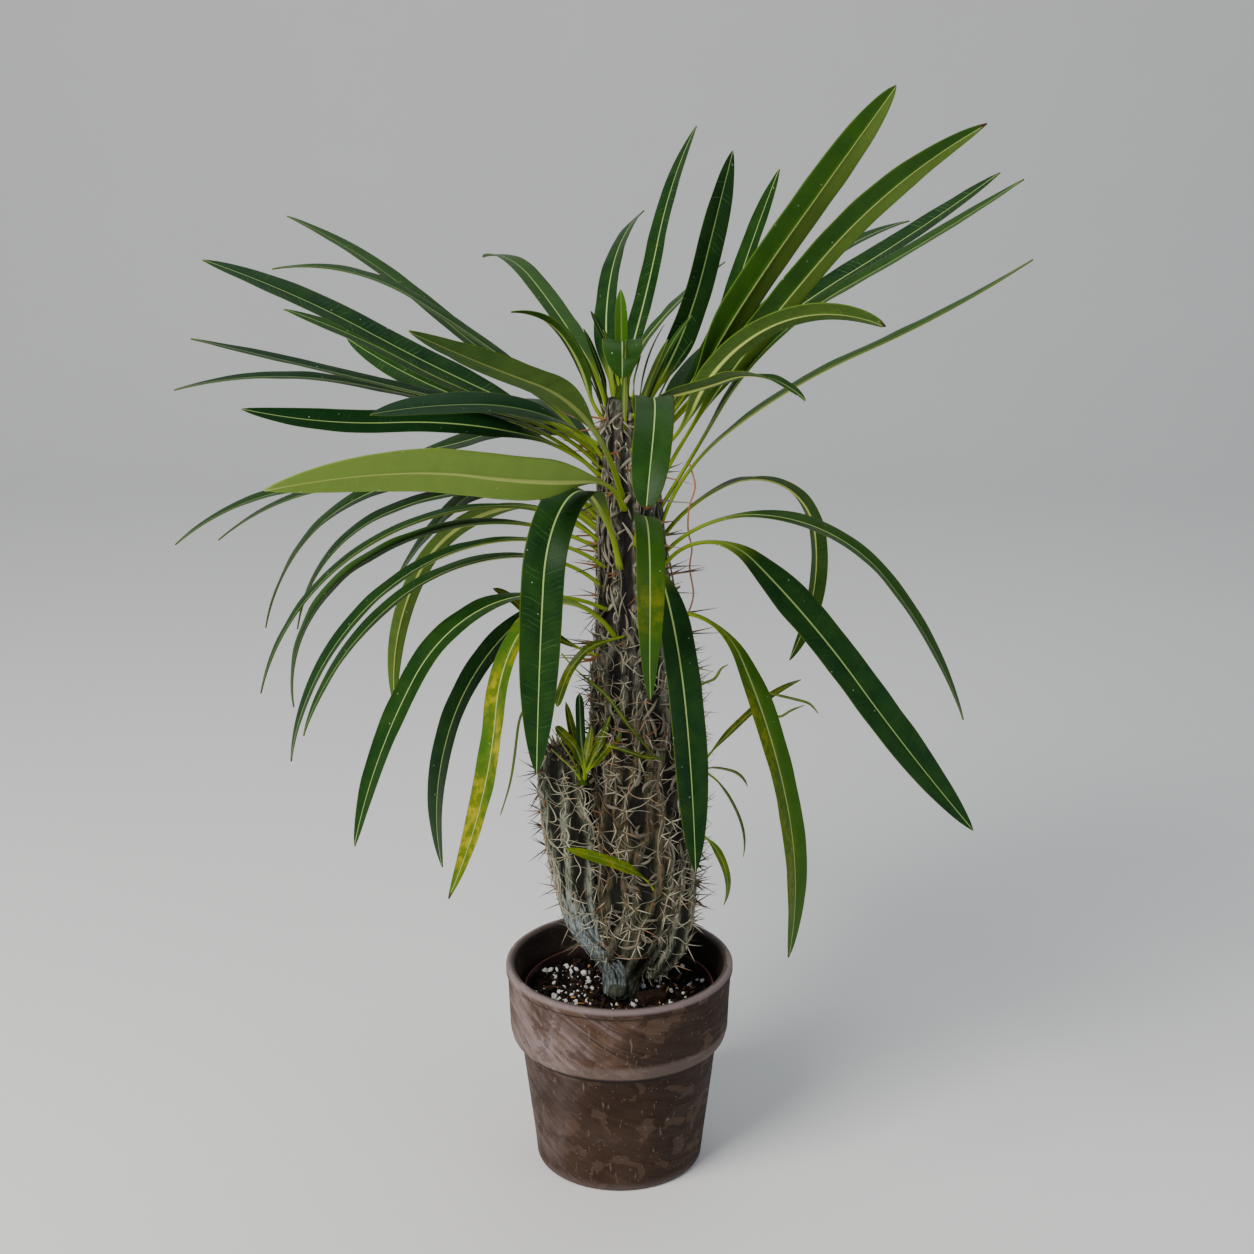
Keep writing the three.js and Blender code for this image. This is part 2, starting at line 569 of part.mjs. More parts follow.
const pot = clayPot();
const liner = nurseryPot();
const earth = soil(stemHole());
const plant = stem(joined([pot, liner, earth, ...foliage.map(({ solid }) => solid)]));

function foliageLook(name) {
  if (name === 'leaf_low_left_13' || name === 'trunk_leaf_front') return YELLOWING;
  return name.startsWith('leaf') ? LEAF_GREEN : YOUNG_GREEN;
}

const group = new THREE.Group();
group.add(
  meshOf('clay_pot', pot, CLAY),
  meshOf('nursery_pot', liner, NURSERY_PLASTIC),
  meshOf('soil', earth, SOIL_MIX),
  meshOf('stem', plant, BARK),
  ...foliage.map(({ name, solid }) => meshOf(name, solid, foliageLook(name))),
);

export default group;
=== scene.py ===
"""Madagascar palm in its clay pot: the looks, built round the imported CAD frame.

Lengths are millimetres until a mesh is made, where MM turns them into metres. +Z is up and -Y is the front.
"""

import itertools
import math

import bpy
import numpy as np
from mathutils import Euler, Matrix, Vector


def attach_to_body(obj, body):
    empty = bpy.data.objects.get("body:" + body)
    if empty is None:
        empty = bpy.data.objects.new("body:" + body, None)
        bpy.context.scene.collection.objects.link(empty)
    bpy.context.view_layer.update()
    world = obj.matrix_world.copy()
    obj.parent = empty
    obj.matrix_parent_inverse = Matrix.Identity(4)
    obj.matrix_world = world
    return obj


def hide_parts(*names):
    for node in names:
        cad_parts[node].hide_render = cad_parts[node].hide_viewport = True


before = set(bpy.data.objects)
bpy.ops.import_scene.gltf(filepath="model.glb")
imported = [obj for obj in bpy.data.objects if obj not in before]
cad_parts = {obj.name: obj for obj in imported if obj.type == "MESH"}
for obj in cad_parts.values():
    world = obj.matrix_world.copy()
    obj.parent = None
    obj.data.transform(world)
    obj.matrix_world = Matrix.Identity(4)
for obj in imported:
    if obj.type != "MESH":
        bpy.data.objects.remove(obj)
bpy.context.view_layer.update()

MM = 0.001
TAU = 2 * math.pi
GOLDEN_ANGLE = math.pi * (3 - math.sqrt(5))

# ------------------------------------------------------------------ sizes, as in the CAD

POT_HEIGHT = 160
POT_RIM_RADIUS = 85
POT_BASE_RADIUS = 62.5
POT_BODY_TOP_RADIUS = 73.8
POT_COLLAR_HEIGHT = 62
POT_COLLAR_STEP = 8.2
POT_WALL = 6.5
POT_FLOOR = 8
DRAIN_RADIUS = 4.5
DRAIN_CIRCLE = 30

NURSERY_BASE = 8.3
NURSERY_TOP = 139
NURSERY_BASE_RADIUS = 46
NURSERY_TOP_RADIUS = 71.5
NURSERY_WALL = 1.4

SOIL_LEVEL = 133
SOIL_ROUGHNESS = 1.2
SOIL_BOTTOM = 10
BARK_CHUNK = {"length": 24, "depth": 13, "height": 18, "turn": 0.35, "x": 24, "y": -15.5}

# Stem: [height, centre x, centre y, radius] up each column
TRUNK = np.array([
    [70, 2, 0, 8], [100, 2, 0, 10], [134, 2, 0, 12.5], [150, 4, 0, 15], [175, 10, 0, 29],
    [208, 17, 0, 34], [240, 18.5, 0, 36], [264, 19, 0, 36.5], [319, 18, 0, 36.5], [365, 16, 0, 35],
    [400, 14, 0, 32], [420, 13.5, 0, 30], [440, 12.5, 0, 27.5], [484, 8.5, 0, 23], [520, 7, 0, 20.5],
    [550, 5, 0, 18], [575, 3, 0, 14], [585, 2.5, 0, 9],
], float)
LEFT_ARM = np.array([
    [145, -1, 0, 9], [167, -9, -2, 14], [192, -22, -3, 16.5], [224, -29, -4, 18], [264, -34, -4, 20],
    [304, -39, -3, 18], [322, -42, -2, 13], [331, -43, -2, 6],
], float)
RIGHT_ARM = np.array([
    [150, 25, -10, 5], [160, 30, -11, 10], [178, 38, -12, 12], [208, 43, -12, 13],
    [240, 44, -11, 12.5], [270, 41, -9, 12], [300, 36, -6, 9],
], float)
FOOT_NUB = {"x": -1, "y": -14, "z": 141, "radius": 7.5}

# Leaves
BLADE_EDGE = 0.7
PETIOLE_WIDTH = 4.2
PETIOLE_THICKNESS = 3.2
YOUNG_PETIOLE_WIDTH = 2.4
LEAF_TIP_WIDTH = 1.2
LEAF_ROOT_DEPTH = 1.5
BLADE_FULL = 0.38
BLADE_GROWTH = 0.33
LONG_STALKED = {"leaf_left_13": 0.55, "leaf_left_14": 0.44}
LEAF_STEPS = 60
CLIMB_STATIONS = [0, 0.25, 0.6, 1]

# The leaves of each side, from leaf_right_01 on. A row holds the height of its root, the direction it faces
# (degrees, 0 is +X, 90 is +Y, the back), its turn along its length, length, width, climb in degrees at root,
# quarter, 3/5 and tip, and roll of its blade.
LEAF_ROWS = {
    "right": [
        (554, 359, 0, 290, 27, (50, 60, 55, 55), 65),
        (520, 352, 0, 335, 25, (65, 55, 50, 30), 55),
        (552, 39, 5, 225, 22, (35, 45, 65, 60), 10),
        (566, 55, 0, 220, 22, (35, 45, 65, 65), -65),
        (548, 10, 0, 310, 24, (55, 40, 30, 35), -15),
        (505, 357, -3, 340, 23, (60, 60, 30, 35), -10),
        (551, 23, 5, 260, 20, (35, 50, 35, 10), 0),
        (544, 335, 0, 215, 20, (35, 65, 30, -20), 42),
        (574, 300, 0, 215, 20, (35, 15, 20, -20), 10),
        (493, 354, 0, 320, 20, (75, 40, 25, 35), 0),
    ],
    "left": [
        (562, 125, -10, 240, 20, (70, 35, 25, -15), -5),
        (570, 199, 0, 110, 16, (50, 75, 55, 0), -15),
        (526, 153, 5, 310, 24, (65, 30, 35, 20), 0),
        (557, 168, 0, 270, 20, (40, 35, 30, -10), 0),
        (544, 186, 0, 300, 26, (40, 25, 30, 20), 25),
        (541, 163, 0, 260, 22, (50, 10, 25, 15), 10),
        (545, 139, 0, 275, 24, (25, 0, 10, 20), 25),
        (536, 187, 0, 295, 20, (50, 15, 15, 15), 5),
        (528, 177, 0, 315, 20, (50, 15, 10, -15), 5),
        (531, 191, 0, 255, 24, (45, 15, 0, 15), 30),
        (543, 207, 0, 185, 24, (60, 25, 5, -5), 25),
        (535, 134, 0, 225, 22, (35, 0, -20, -15), 35),
        (518, 257, -30, 300, 26, (50, 40, 20, 25), -25),
        (511, 259, -50, 360, 31, (40, 10, 15, -5), -65),
    ],
    "low_left": [
        (498, 179, 0, 320, 22, (50, -5, 0, -40), 5),
        (501, 166, 5, 305, 20, (40, -5, -5, -40), 5),
        (495, 159, -5, 350, 22, (25, 5, -30, -75), 25),
        (492, 182, 0, 270, 22, (45, 5, -25, -80), 5),
        (484, 198, 0, 305, 18, (45, 5, -30, -75), -5),
        (478, 195, 0, 295, 22, (35, 5, -30, -95), 0),
        (468, 210, 0, 310, 24, (40, 5, -35, -80), -10),
        (453, 202, 0, 275, 22, (45, 5, -35, -70), -5),
        (484, 150, -5, 230, 22, (35, 15, -40, -55), 40),
        (477, 158, 0, 290, 14, (50, -10, -60, -95), -60),
        (438, 217, 0, 295, 25, (30, 5, -55, -75), 0),
        (428, 204, 0, 265, 25, (55, -35, -70, -100), 10),
        (420, 236, 10, 315, 23, (50, 15, -80, -35), -25),
    ],
    "front": [
        (469, 247, 5, 315, 28, (70, 35, -80, -85), 10),
        (551, 287, -30, 200, 25, (35, 45, -15, -70), 0),
        (485, 279, -15, 215, 20, (60, 15, -60, -120), 20),
        (453, 285, -5, 260, 25, (70, -35, -65, -80), 15),
    ],
    "low_right": [
        (483, 14, 0, 250, 22, (55, 20, -80, -120), 15),
        (475, 352, 0, 295, 22, (50, 0, -50, -70), -10),
        (467, 335, 0, 315, 28, (60, -40, -50, -45), -35),
        (434, 322, 0, 295, 24, (25, -60, -75, -100), -5),
    ],
    "back": [
        (570, 86, -25, 275, 20, (55, 25, 55, 40), 30),
        (568, 105, -40, 235, 20, (45, 35, 35, 15), 35),
        (472, 92, 0, 270, 24, (30, -5, -45, -75), 0),
        (512, 118, 0, 265, 24, (45, 15, -5, -20), 0),
        (528, 62, 0, 250, 24, (50, 30, 12, -10), 0),
    ],
}
LEAVES = [(f"leaf_{group}_{k:02d}", *row)
          for group, rows in LEAF_ROWS.items() for k, row in enumerate(rows, 1)]

# Young leaves, fused into one small rosette each: its place, radius, height and leaves. The leaves' rows are
# those of LEAF_ROWS without the root's height.
ROSETTES = {
    "crown_bud": ((2.5, 0, 584), 7, 20, [
        (98, 0, 66, 9, (88, 88, 86, 84), 0),
        (270, 0, 76, 27, (88, 88, -10, -85), 0),
        (225, 0, 44, 6, (80, 74, 68, 60), 10),
        (64, 0, 190, 14, (52, 22, 15, 10), 25),
        (10, 0, 52, 7, (72, 66, 58, 50), 0),
        (140, 0, 56, 8, (76, 68, 60, 52), 0),
    ]),
    "left_shoot": ((-26, -20, 308), 5, 9, [
        (200, 0, 46, 6, (80, 65, 58, 60), 0),
        (160, 0, 58, 7, (88, 80, 76, 80), 30),
        (300, 0, 46, 6, (86, 76, 72, 74), 20),
        (340, 0, 48, 8, (84, 70, 64, 66), 20),
        (215, 0, 38, 5, (60, 50, 45, 50), 0),
    ]),
    "right_shoot": ((56, -9, 311), 4.5, 8, [
        (10, 0, 100, 8, (60, 45, 42, 20), -15),
        (340, 0, 42, 5, (30, 5, -10, -70), 0),
        (330, 0, 78, 4, (0, -45, -65, -100), 0),
    ]),
}
SINGLE_LEAVES = {
    "trunk_leaf_front": ((25, -35, 232), (205, -25, 77, 9, (65, 35, 22, 18), 40)),
    "trunk_leaf_right": ((55, -14, 268), (330, 20, 66, 8, (0, -50, -75, -110), -20)),
}

# ------------------------------------------------------------------ small helpers


def smoothstep(value, low, high):
    share = np.clip((value - low) / (high - low), 0, 1)
    return share * share * (3 - 2 * share)


def mix(a, b, share):
    return a + (b - a) * share


def unit(vectors):
    return vectors / np.linalg.norm(vectors, axis=-1, keepdims=True)


def aim(heading, climb):
    """Unit vectors with these headings and climbs, in radians."""
    heading, climb = np.broadcast_arrays(heading, climb)
    level = np.cos(climb)
    return np.stack([level * np.cos(heading), level * np.sin(heading), np.sin(climb)], -1)


def lattice(x, y, z, seed):
    """A number from 0 to 1 for each lattice point, always the same."""
    mixed = (x * 374761393 + y * 668265263 + z * 1103515245 + seed * 144665) & 0xFFFFFFFF
    mixed = ((mixed ^ (mixed >> 13)) * 1274126177) & 0xFFFFFFFF
    return ((mixed ^ (mixed >> 16)) & 0xFFFF) / 65535


def noise(points, size, seed=0):
    """Smooth noise from -1 to 1 at points in millimetres, with lumps of this size."""
    at = np.asarray(points, float) / size
    cell = np.floor(at).astype(np.int64)
    share = at - cell
    share = share * share * (3 - 2 * share)
    total = 0
    for corner in itertools.product((0, 1), repeat=3):
        weight = np.prod(np.where(corner, share, 1 - share), axis=-1)
        total = total + weight * lattice(*np.moveaxis(cell + corner, -1, 0), seed)
    return 2 * total - 1


def grid_faces(rows, columns, closed=True):
    """Quads between rows of points; closed joins the last column to the first."""
    row = np.arange(rows - 1)[:, None] * columns
    column = np.arange(columns if closed else columns - 1)[None, :]
    after = (column + 1) % columns
    faces = np.stack([row + column, row + after, row + columns + after, row + columns + column], -1)
    return faces.reshape(-1, 4).tolist()


def turns(sides):
    """Angles of a full turn in equal steps."""
    return np.arange(sides) / sides * TAU


def tube_faces(rows, sides):
    """Quads between rings of points and a face over each end."""
    faces = grid_faces(rows, sides)
    faces.append(list(range(sides))[::-1])
    faces.append([(rows - 1) * sides + k for k in range(sides)])
    return faces


def globe_faces(rows, sides):
    """Quads between rings of points, closed by a low and a high pole that come after them."""
    faces = grid_faces(rows, sides)
    low, high, last = rows * sides, rows * sides + 1, (rows - 1) * sides
    faces += [[low, (k + 1) % sides, k] for k in range(sides)]
    faces += [[high, last + k, last + (k + 1) % sides] for k in range(sides)]
    return faces


def attach(mesh, attributes):
    """Gives a mesh its attributes, with 1, 3 or 4 numbers a point."""
    kinds = {1: ("FLOAT", "value"), 3: ("FLOAT_VECTOR", "vector"), 4: ("FLOAT_COLOR", "color")}
    for key, values in attributes.items():
        values = np.asarray(values, np.float32)
        kind, field = kinds[1 if values.ndim == 1 else values.shape[1]]
        mesh.attributes.new(key, kind, "POINT").data.foreach_set(field, values.ravel())


def make_piece(name, points, faces, material, slot, attributes=None, replaced=(), smooth=True):
    """A mesh object from points in millimetres."""
    mesh = bpy.data.meshes.new(name)
    mesh.from_pydata((np.asarray(points, float) * MM).tolist(), [], faces)
    mesh.update()
    mesh.polygons.foreach_set("use_smooth", [smooth] * len(mesh.polygons))
    attach(mesh, attributes or {})
    mesh.materials.append(material)
    piece = bpy.data.objects.new(name, mesh)
    bpy.context.scene.collection.objects.link(piece)
    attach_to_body(piece, "root")
    if replaced:
        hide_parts(*replaced)
    return piece


class Parts:
    """Gathers small meshes that end up in one piece."""

    def __init__(self):
        self.points, self.faces, self.attributes = [], [], {}
        self.count = 0

    def add(self, points, faces, **attributes):
        self.points.append(points)
        self.faces.extend([[corner + self.count for corner in face] for face in faces])
        for key, values in attributes.items():
            values = np.asarray(values, float)
            if values.ndim < 2 and values.size in (1, 3):
                values = np.tile(values, (len(points), 1))
            self.attributes.setdefault(key, []).append(values.reshape(len(points), -1))
        self.count += len(points)

    def thread(self, line, radii, sides, pale, red=0):
        """Adds a dry fibre along a line; pale runs from 0, dark, to 1, bleached, and red from 0 to 1."""
        points, faces = tube(line, radii, sides)
        self.add(points, faces, spine_look=(pale, red, 0.5))

    def make(self, name, material, slot, replaced=(), smooth=True):
        attributes = {key: np.concatenate(values) for key, values in self.attributes.items()}
        attributes = {key: v[:, 0] if v.shape[1] == 1 else v for key, v in attributes.items()}
        return make_piece(name, np.concatenate(self.points), self.faces, material, slot,
                          attributes, replaced, smooth)


OFF_AXIS = np.array([0.31, 0.17, 0.93])    # no tube runs along it, so each has a direction across


def tube(line, radii, sides):
    """A closed tube along a line of points, with a radius at each; returns points and faces."""
    along = unit(np.gradient(line, axis=0))
    across = unit(np.cross(along, OFF_AXIS))
    upper = np.cross(along, across)
    turn = turns(sides)[None, :, None]
    ring = np.cos(turn) * across[:, None] + np.sin(turn) * upper[:, None]
    points = (line[:, None] + np.asarray(radii)[:, None, None] * ring).reshape(-1, 3)
    return points, tube_faces(len(line), sides)


def grown(base, steps, length):
    """A line that starts at base and takes equal steps in these directions."""
    return base + np.cumsum(steps, axis=0) * length / len(steps)


# ------------------------------------------------------------------ material nodes


class Value:
    """What a node gives, with the arithmetic that adds further nodes."""

    def __init__(self, shade, socket):
        self.shade = shade
        self.socket = socket

    def __add__(self, other):
        return self.shade.math("ADD", self, other)

    def __sub__(self, number):
        return self + -number

    def __mul__(self, other):
        return self.shade.math("MULTIPLY", self, other)

    def step(self, low, high, start=0, end=1):
        """start below low, end above high, and a smooth step between them."""
        inputs = {"Value": self, "From Min": low, "From Max": high, "To Min": start, "To Max": end}
        return self.shade.node("MapRange", inputs, interpolation_type="SMOOTHSTEP")

    def fall(self, low, high):
        """1 below low, 0 above high."""
        return self.step(low, high, 1, 0)

    def band(self, low, rise, fall, high):
        """1 between rise and fall, 0 below low and above high."""
        return self.step(low, rise) * self.fall(fall, high)

    def centred(self, width):
        """Noise from 0 to 1 as a number from -width / 2 to width / 2."""
        return self.shade.math("MULTIPLY_ADD", self, width, -width / 2)

    def off_half(self):
        """How far the number is from halfway between two whole numbers, from 0 to 0.5."""
        return self.shade.math("ABSOLUTE", self.shade.math("FRACT", self) - 0.5)


class Shade:
    """Builds one material's nodes from values, numbers and colours.

    color is the colour so far. metres is the object's own place, used where no other place is given."""

    def __init__(self, name):
        self.material = bpy.data.materials.new(name)
        self.material.use_nodes = True
        self.tree = self.material.node_tree
        self.shader = self.tree.nodes["Principled BSDF"]
        self.metres = self.node("TexCoord", output="Object")
        self.color = None

    def node(self, kind, inputs=(), output=0, **settings):
        node = self.tree.nodes.new("ShaderNode" + kind)
        for key, value in settings.items():
            setattr(node, key, value)
        for key, value in dict(inputs).items():
            self.put(node.inputs[key], value)
        return Value(self, node.outputs[output])

    def put(self, socket, value):
        if isinstance(value, Value):
            self.tree.links.new(value.socket, socket)
        elif isinstance(value, (tuple, list)) and len(value) == 3 and socket.type == "RGBA":
            socket.default_value = (*value, 1)
        else:
            socket.default_value = value

    def attribute(self, name, output="Vector"):
        return self.node("Attribute", output=output, attribute_name=name)

    def split(self, vector):
        node = self.tree.nodes.new("ShaderNodeSeparateXYZ")
        self.put(node.inputs[0], vector)
        return [Value(self, socket) for socket in node.outputs]

    def numbers(self, name):
        """The three numbers of an attribute."""
        return self.split(self.attribute(name))

    def math(self, operation, *values, clamp=False):
        return self.node("Math", enumerate(values), operation=operation, use_clamp=clamp)

    def blend(self, share, a, b):
        return self.node("Mix", {0: share, 6: a, 7: b}, output=2, data_type="RGBA")

    def coat(self, share, color, strength=1):
        """Lays a colour over the one so far."""
        if strength != 1:
            share = share * strength
        self.color = self.blend(share, self.color, color)

    def stretch(self, scale, shift=(0, 0, 0), at=None):
        inputs = {"Vector": at or self.metres, "Scale": scale, "Location": shift}
        return self.node("Mapping", inputs)

    def grain(self, size, detail=2, rough=0.5, warp=0, at=None):
        """Noise from 0 to 1 with lumps of this size, in millimetres where at is in metres."""
        inputs = {"Vector": at or self.metres, "Scale": 1 / (size * MM), "Detail": detail,
                  "Roughness": rough, "Distortion": warp}
        return self.node("TexNoise", inputs)

    def cells(self, size, at=None):
        """Distance to the nearest of many points that lie about this far apart."""
        inputs = {"Vector": at or self.metres, "Scale": 1 / (size * MM)}
        return self.node("TexVoronoi", inputs, output="Distance")

    def surface(self, roughness, relief=None, depth=0, **more):
        """Finishes the material with a relief of a depth in millimetres and more inputs by name."""
        inputs = {"Base_Color": self.color, "Roughness": roughness, **more}
        if relief is not None:
            bump = {"Height": relief, "Distance": depth * MM, "Strength": 1.0}
            inputs["Normal"] = self.node("Bump", bump)
        for key, value in inputs.items():
            self.put(self.shader.inputs[key.replace("_", " ")], value)
        return self.material


# ------------------------------------------------------------------ materials

LEAF_DARK = (0.0045, 0.027, 0.0055)
LEAF_LIGHT = (0.064, 0.165, 0.009)
LEAF_UNDER = (0.022, 0.064, 0.008)
LEAF_UNDER_LIGHT = (0.205, 0.315, 0.048)
LEAF_RIB = (0.37, 0.52, 0.16)
LEAF_UNDER_RIB = (0.50, 0.57, 0.135)
LEAF_UNDER_VEIN = (0.10, 0.20, 0.07)
LEAF_PETIOLE = (0.24, 0.335, 0.018)
LEAF_YELLOW = (0.36, 0.30, 0.008)
LEAF_TIP = (0.075, 0.036, 0.012)
LEAF_SPECK = (0.55, 0.65, 0.5)
WHOLE = 1 / MM                     # a size of noise with one lump to each whole number of its place


def leaf_material(name):
    """A blade with midrib, side veins, a paler underside, a yellow-green petiole and a brown tip.

    leaf_place holds millimetres along, millimetres across and the share across from -1 to 1.
    leaf_look holds underside, tone, yellow and the share along; leaf_more brown tip, veins and midrib."""
    shade = Shade(name)
    place = shade.attribute("leaf_place")
    along, across, share = shade.split(place)
    under, tone, yellow = shade.split(shade.attribute("leaf_look", "Color"))
    travel = shade.attribute("leaf_look", "Alpha")
    browning, veins, midrib = shade.numbers("leaf_more")
    out = shade.math("ABSOLUTE", across)
    edge = shade.math("ABSOLUTE", share)
    below = under.step(0.35, 0.65)

    mottle = shade.grain(16, detail=4, rough=0.6)
    light = shade.math("ADD", tone, mottle.centred(0.40), clamp=True)
    upper = shade.blend(light, LEAF_DARK, LEAF_LIGHT)
    shade.color = shade.blend(below, upper, shade.blend(light, LEAF_UNDER, LEAF_UNDER_LIGHT))

    # Side veins leave the midrib at a steep angle, a few millimetres apart; some show more than others.
    wander = shade.grain(WHOLE, at=shade.stretch((0.03, 0.10, 0), at=place))
    slanted = along * 0.27 + out * 0.12 + wander * 0.9
    number = shade.math("FLOOR", slanted) + shade.math("SIGN", across) * 61.3
    lottery = shade.node("TexWhiteNoise", {"W": number}, noise_dimensions="1D")
    vein = slanted.off_half().fall(0.0, 0.12) * edge.fall(0.80, 0.98) * travel.step(0.12, 0.25)
    shown = vein * lottery.step(0.3, 1.0, 0.08, 1) * veins * shade.grain(11).step(0.40, 0.62, 0.15, 1)
    shade.coat(shown, shade.blend(below, LEAF_UNDER_VEIN, LEAF_RIB), 0.9)

    patch = shade.grain(8, detail=4, rough=0.7)
    shade.coat(yellow * patch.step(0.42, 0.60, 0.25, 1), LEAF_YELLOW)
    # A pale margin along each edge: partly the margin's own colour, partly a painted highlight on the rim.
    shade.coat(edge.step(0.93, 0.995), LEAF_PETIOLE, 0.30)
    rib_width = travel.step(0.2, 1.0, 0.80, 0.32) + below * travel.step(0.2, 0.9, 1.3, 0)
    rib = shade.math("DIVIDE", out, rib_width).fall(0.55, 1.1)
    shade.coat(rib * midrib * travel.step(0.1, 0.3, 0.2, 0.9),
               shade.blend(below, LEAF_RIB, LEAF_UNDER_RIB))
    shade.coat(travel.fall(0.10, 0.27), LEAF_PETIOLE, 0.9)
    ragged = travel + patch.centred(0.03)
    shade.coat(ragged.step(0.982, 0.994) * browning, LEAF_TIP)

    # Dust and lime specks
    speck = shade.cells(WHOLE, at=shade.stretch((0.11, 0.11, 0.11), at=place))
    shade.coat(speck.step(0.045, 0.080, 0.45, 0), LEAF_SPECK)

    rough = below.step(0, 1, 0.38, 0.52) + mottle.centred(0.24)
    relief = vein * veins * -0.35 + shade.grain(1.5) * 0.2 + shade.grain(7) * 0.6
    return shade.surface(rough, relief, 0.32, IOR=1.42, Specular_IOR_Level=0.12)


def clay_material():
    """Matt brown clay with a pale lilac slip that is smeared in arcs, with painted light and shade.

    pot_swirl runs along the arcs in x and y and across them in z; pot_side holds inside, height and the
    slip's share, which grows towards the left and so also paints that side, which faces the key light,
    lighter."""
    shade = Shade("clay")
    swirl = shade.attribute("pot_swirl")
    inside, height, slip_and_lit_side = shade.numbers("pot_side")

    broad = shade.grain(34, detail=4, rough=0.6, warp=0.6)
    streaks = shade.grain(5, detail=5, rough=0.66, warp=0.4, at=swirl)
    fine = shade.grain(1.2, detail=3, rough=0.6, at=swirl)
    drips = shade.grain(2.6, detail=3, rough=0.6, warp=0.2, at=shade.stretch((1, 1, 0.16)))
    collar = height.step(0.58, 0.66, 0.55, 1)
    body = height.fall(0.58, 0.62)

    # How much slip lies here, from dark clay to pale slip; more on the left, partly as painted light on the
    # side that faces the key light
    amount = slip_and_lit_side * 0.95 + broad * 1.15 + streaks * collar * 0.95 + collar * -0.45 - 0.72
    shade.color = (0.028, 0.0130, 0.0065)
    shade.coat(amount.step(-0.10, 0.38), (0.078, 0.041, 0.0245))
    shade.coat(amount.step(0.30, 0.85), (0.245, 0.178, 0.172))
    # The body is darker and browner than the collar, most of all just under it: partly the clay's own colour,
    # partly painted shade under the collar's overhang and painted warm bounce light.
    shade.coat(body * height.step(0.25, 0.50, 0.50, 0.72), (0.023, 0.0100, 0.0040))

    # Worn patches with a clear edge, one layer lighter and one darker
    patch = shade.grain(20, detail=5, warp=0.4, at=shade.stretch((1, 1, 1.3), (0.3, 0, 0.1)))
    worn = patch.step(0.555, 0.575)
    shade.coat(worn * body.step(0, 1, 0.28, 0.32),
               shade.blend(body, (0.165, 0.102, 0.066), (0.13, 0.082, 0.055)))
    shade.coat(patch.fall(0.405, 0.425), (0.035, 0.020, 0.012), 0.45)

    # Thin dark threads that follow the smears, as contour lines of a stretched noise
    drawn = shade.stretch((0.8, 0.8, 1), (0, 0.2, 0), swirl)
    field = shade.grain(26, detail=3, rough=0.45, warp=0.2, at=drawn)
    contour = (field * 16).off_half()
    thread = contour.fall(0.02, 0.085) * streaks.step(0.42, 0.58, 0.1, 1) * height.step(0.54, 0.70, 0.35, 1)
    shade.coat(thread, (0.026, 0.015, 0.011), 0.80)
    shade.coat(fine.step(0.58, 0.70, 0, 0.45), (0.045, 0.028, 0.021))
    shade.coat(drips.step(0.64, 0.70, 0, 0.35), (0.28, 0.22, 0.19))

    # Pale specks and dark pits
    shade.coat(shade.cells(4.5).fall(0.05, 0.09), (0.55, 0.48, 0.43), 0.55)
    pits = shade.cells(8, at=shade.stretch((1, 1, 1), (0.3, 0.1, 0.2))).fall(0.05, 0.09)
    shade.coat(pits, (0.022, 0.014, 0.010), 0.7)

    # Painted shade in the crease under the collar, painted light on the collar's lower bevel, painted shade
    # under the bead, a painted highlight on the lip's top, a lighter foot, and a plain dark inside painted as
    # shade within the pot.
    shade.coat(height.band(0.596, 0.610, 0.624, 0.640), (0.018, 0.011, 0.008), 0.80)
    shade.coat(height.band(0.636, 0.648, 0.690, 0.720), (0.235, 0.175, 0.155), 0.38)
    shade.coat(height.band(0.945, 0.952, 0.958, 0.965), (0.028, 0.018, 0.014), 0.65)
    shade.coat(height.step(0.972, 0.990), (0.31, 0.24, 0.235), 0.60)
    shade.coat(height.fall(0.0, 0.06), (0.22, 0.175, 0.165), 0.35)
    shade.coat(inside, (0.044, 0.032, 0.024), 0.80)

    relief = streaks * 0.8 + fine * 0.35 + shade.grain(0.9) * 0.2 + thread * -0.35 + pits * -0.8 + worn * 0.2
    return shade.surface(streaks.step(0.3, 0.7, 0.82, 0.60), relief, 0.5, Specular_IOR_Level=0.22)


def nursery_material():
    """Thin dark red-brown plastic, a little dusty, with a redder upper edge."""
    shade = Shade("nursery_plastic")
    dust = shade.grain(6, detail=4, rough=0.6)
    shade.color = (0.022, 0.007, 0.006)
    shade.coat(dust.step(0.45, 0.75), (0.045, 0.024, 0.018))
    edge = shade.split(shade.metres)[2].step((NURSERY_TOP - 1.2) * MM, (NURSERY_TOP - 0.3) * MM)
    shade.coat(edge, (0.105, 0.022, 0.015), 0.9)
    return shade.surface(dust.step(0.3, 0.8, 0.35, 0.7), shade.grain(0.8), 0.15)


def soil_material():
    """Near-black damp peat with brown fibres."""
    shade = Shade("soil")
    crumb = shade.grain(3, detail=5, rough=0.7)
    fibre = shade.grain(1.6, detail=3, at=shade.stretch((1, 0.3, 1)))
    shade.color = (0.0032, 0.0022, 0.0016)
    shade.coat(crumb.step(0.50, 0.78), (0.022, 0.012, 0.007))
    shade.coat(fibre.step(0.64, 0.74, 0, 0.8), (0.050, 0.024, 0.010))
    relief = crumb + fibre * 0.5
    return shade.surface(crumb.step(0.3, 0.7, 0.60, 0.95), relief, 1.2, Specular_IOR_Level=0.08)


def grain_material(name, dark, pale, size, roughness):
    """Bits in the soil: piece_tone shifts each bit between the two colours."""
    shade = Shade(name)
    dirt = shade.grain(size, detail=4, rough=0.65)
    share = shade.math("ADD", shade.attribute("piece_tone", "Fac"), dirt.centred(1.2), clamp=True)
    shade.color = shade.blend(share, dark, pale)
    return shade.surface(roughness, shade.grain(size * 0.3, detail=3), 0.25, Specular_IOR_Level=0.15)


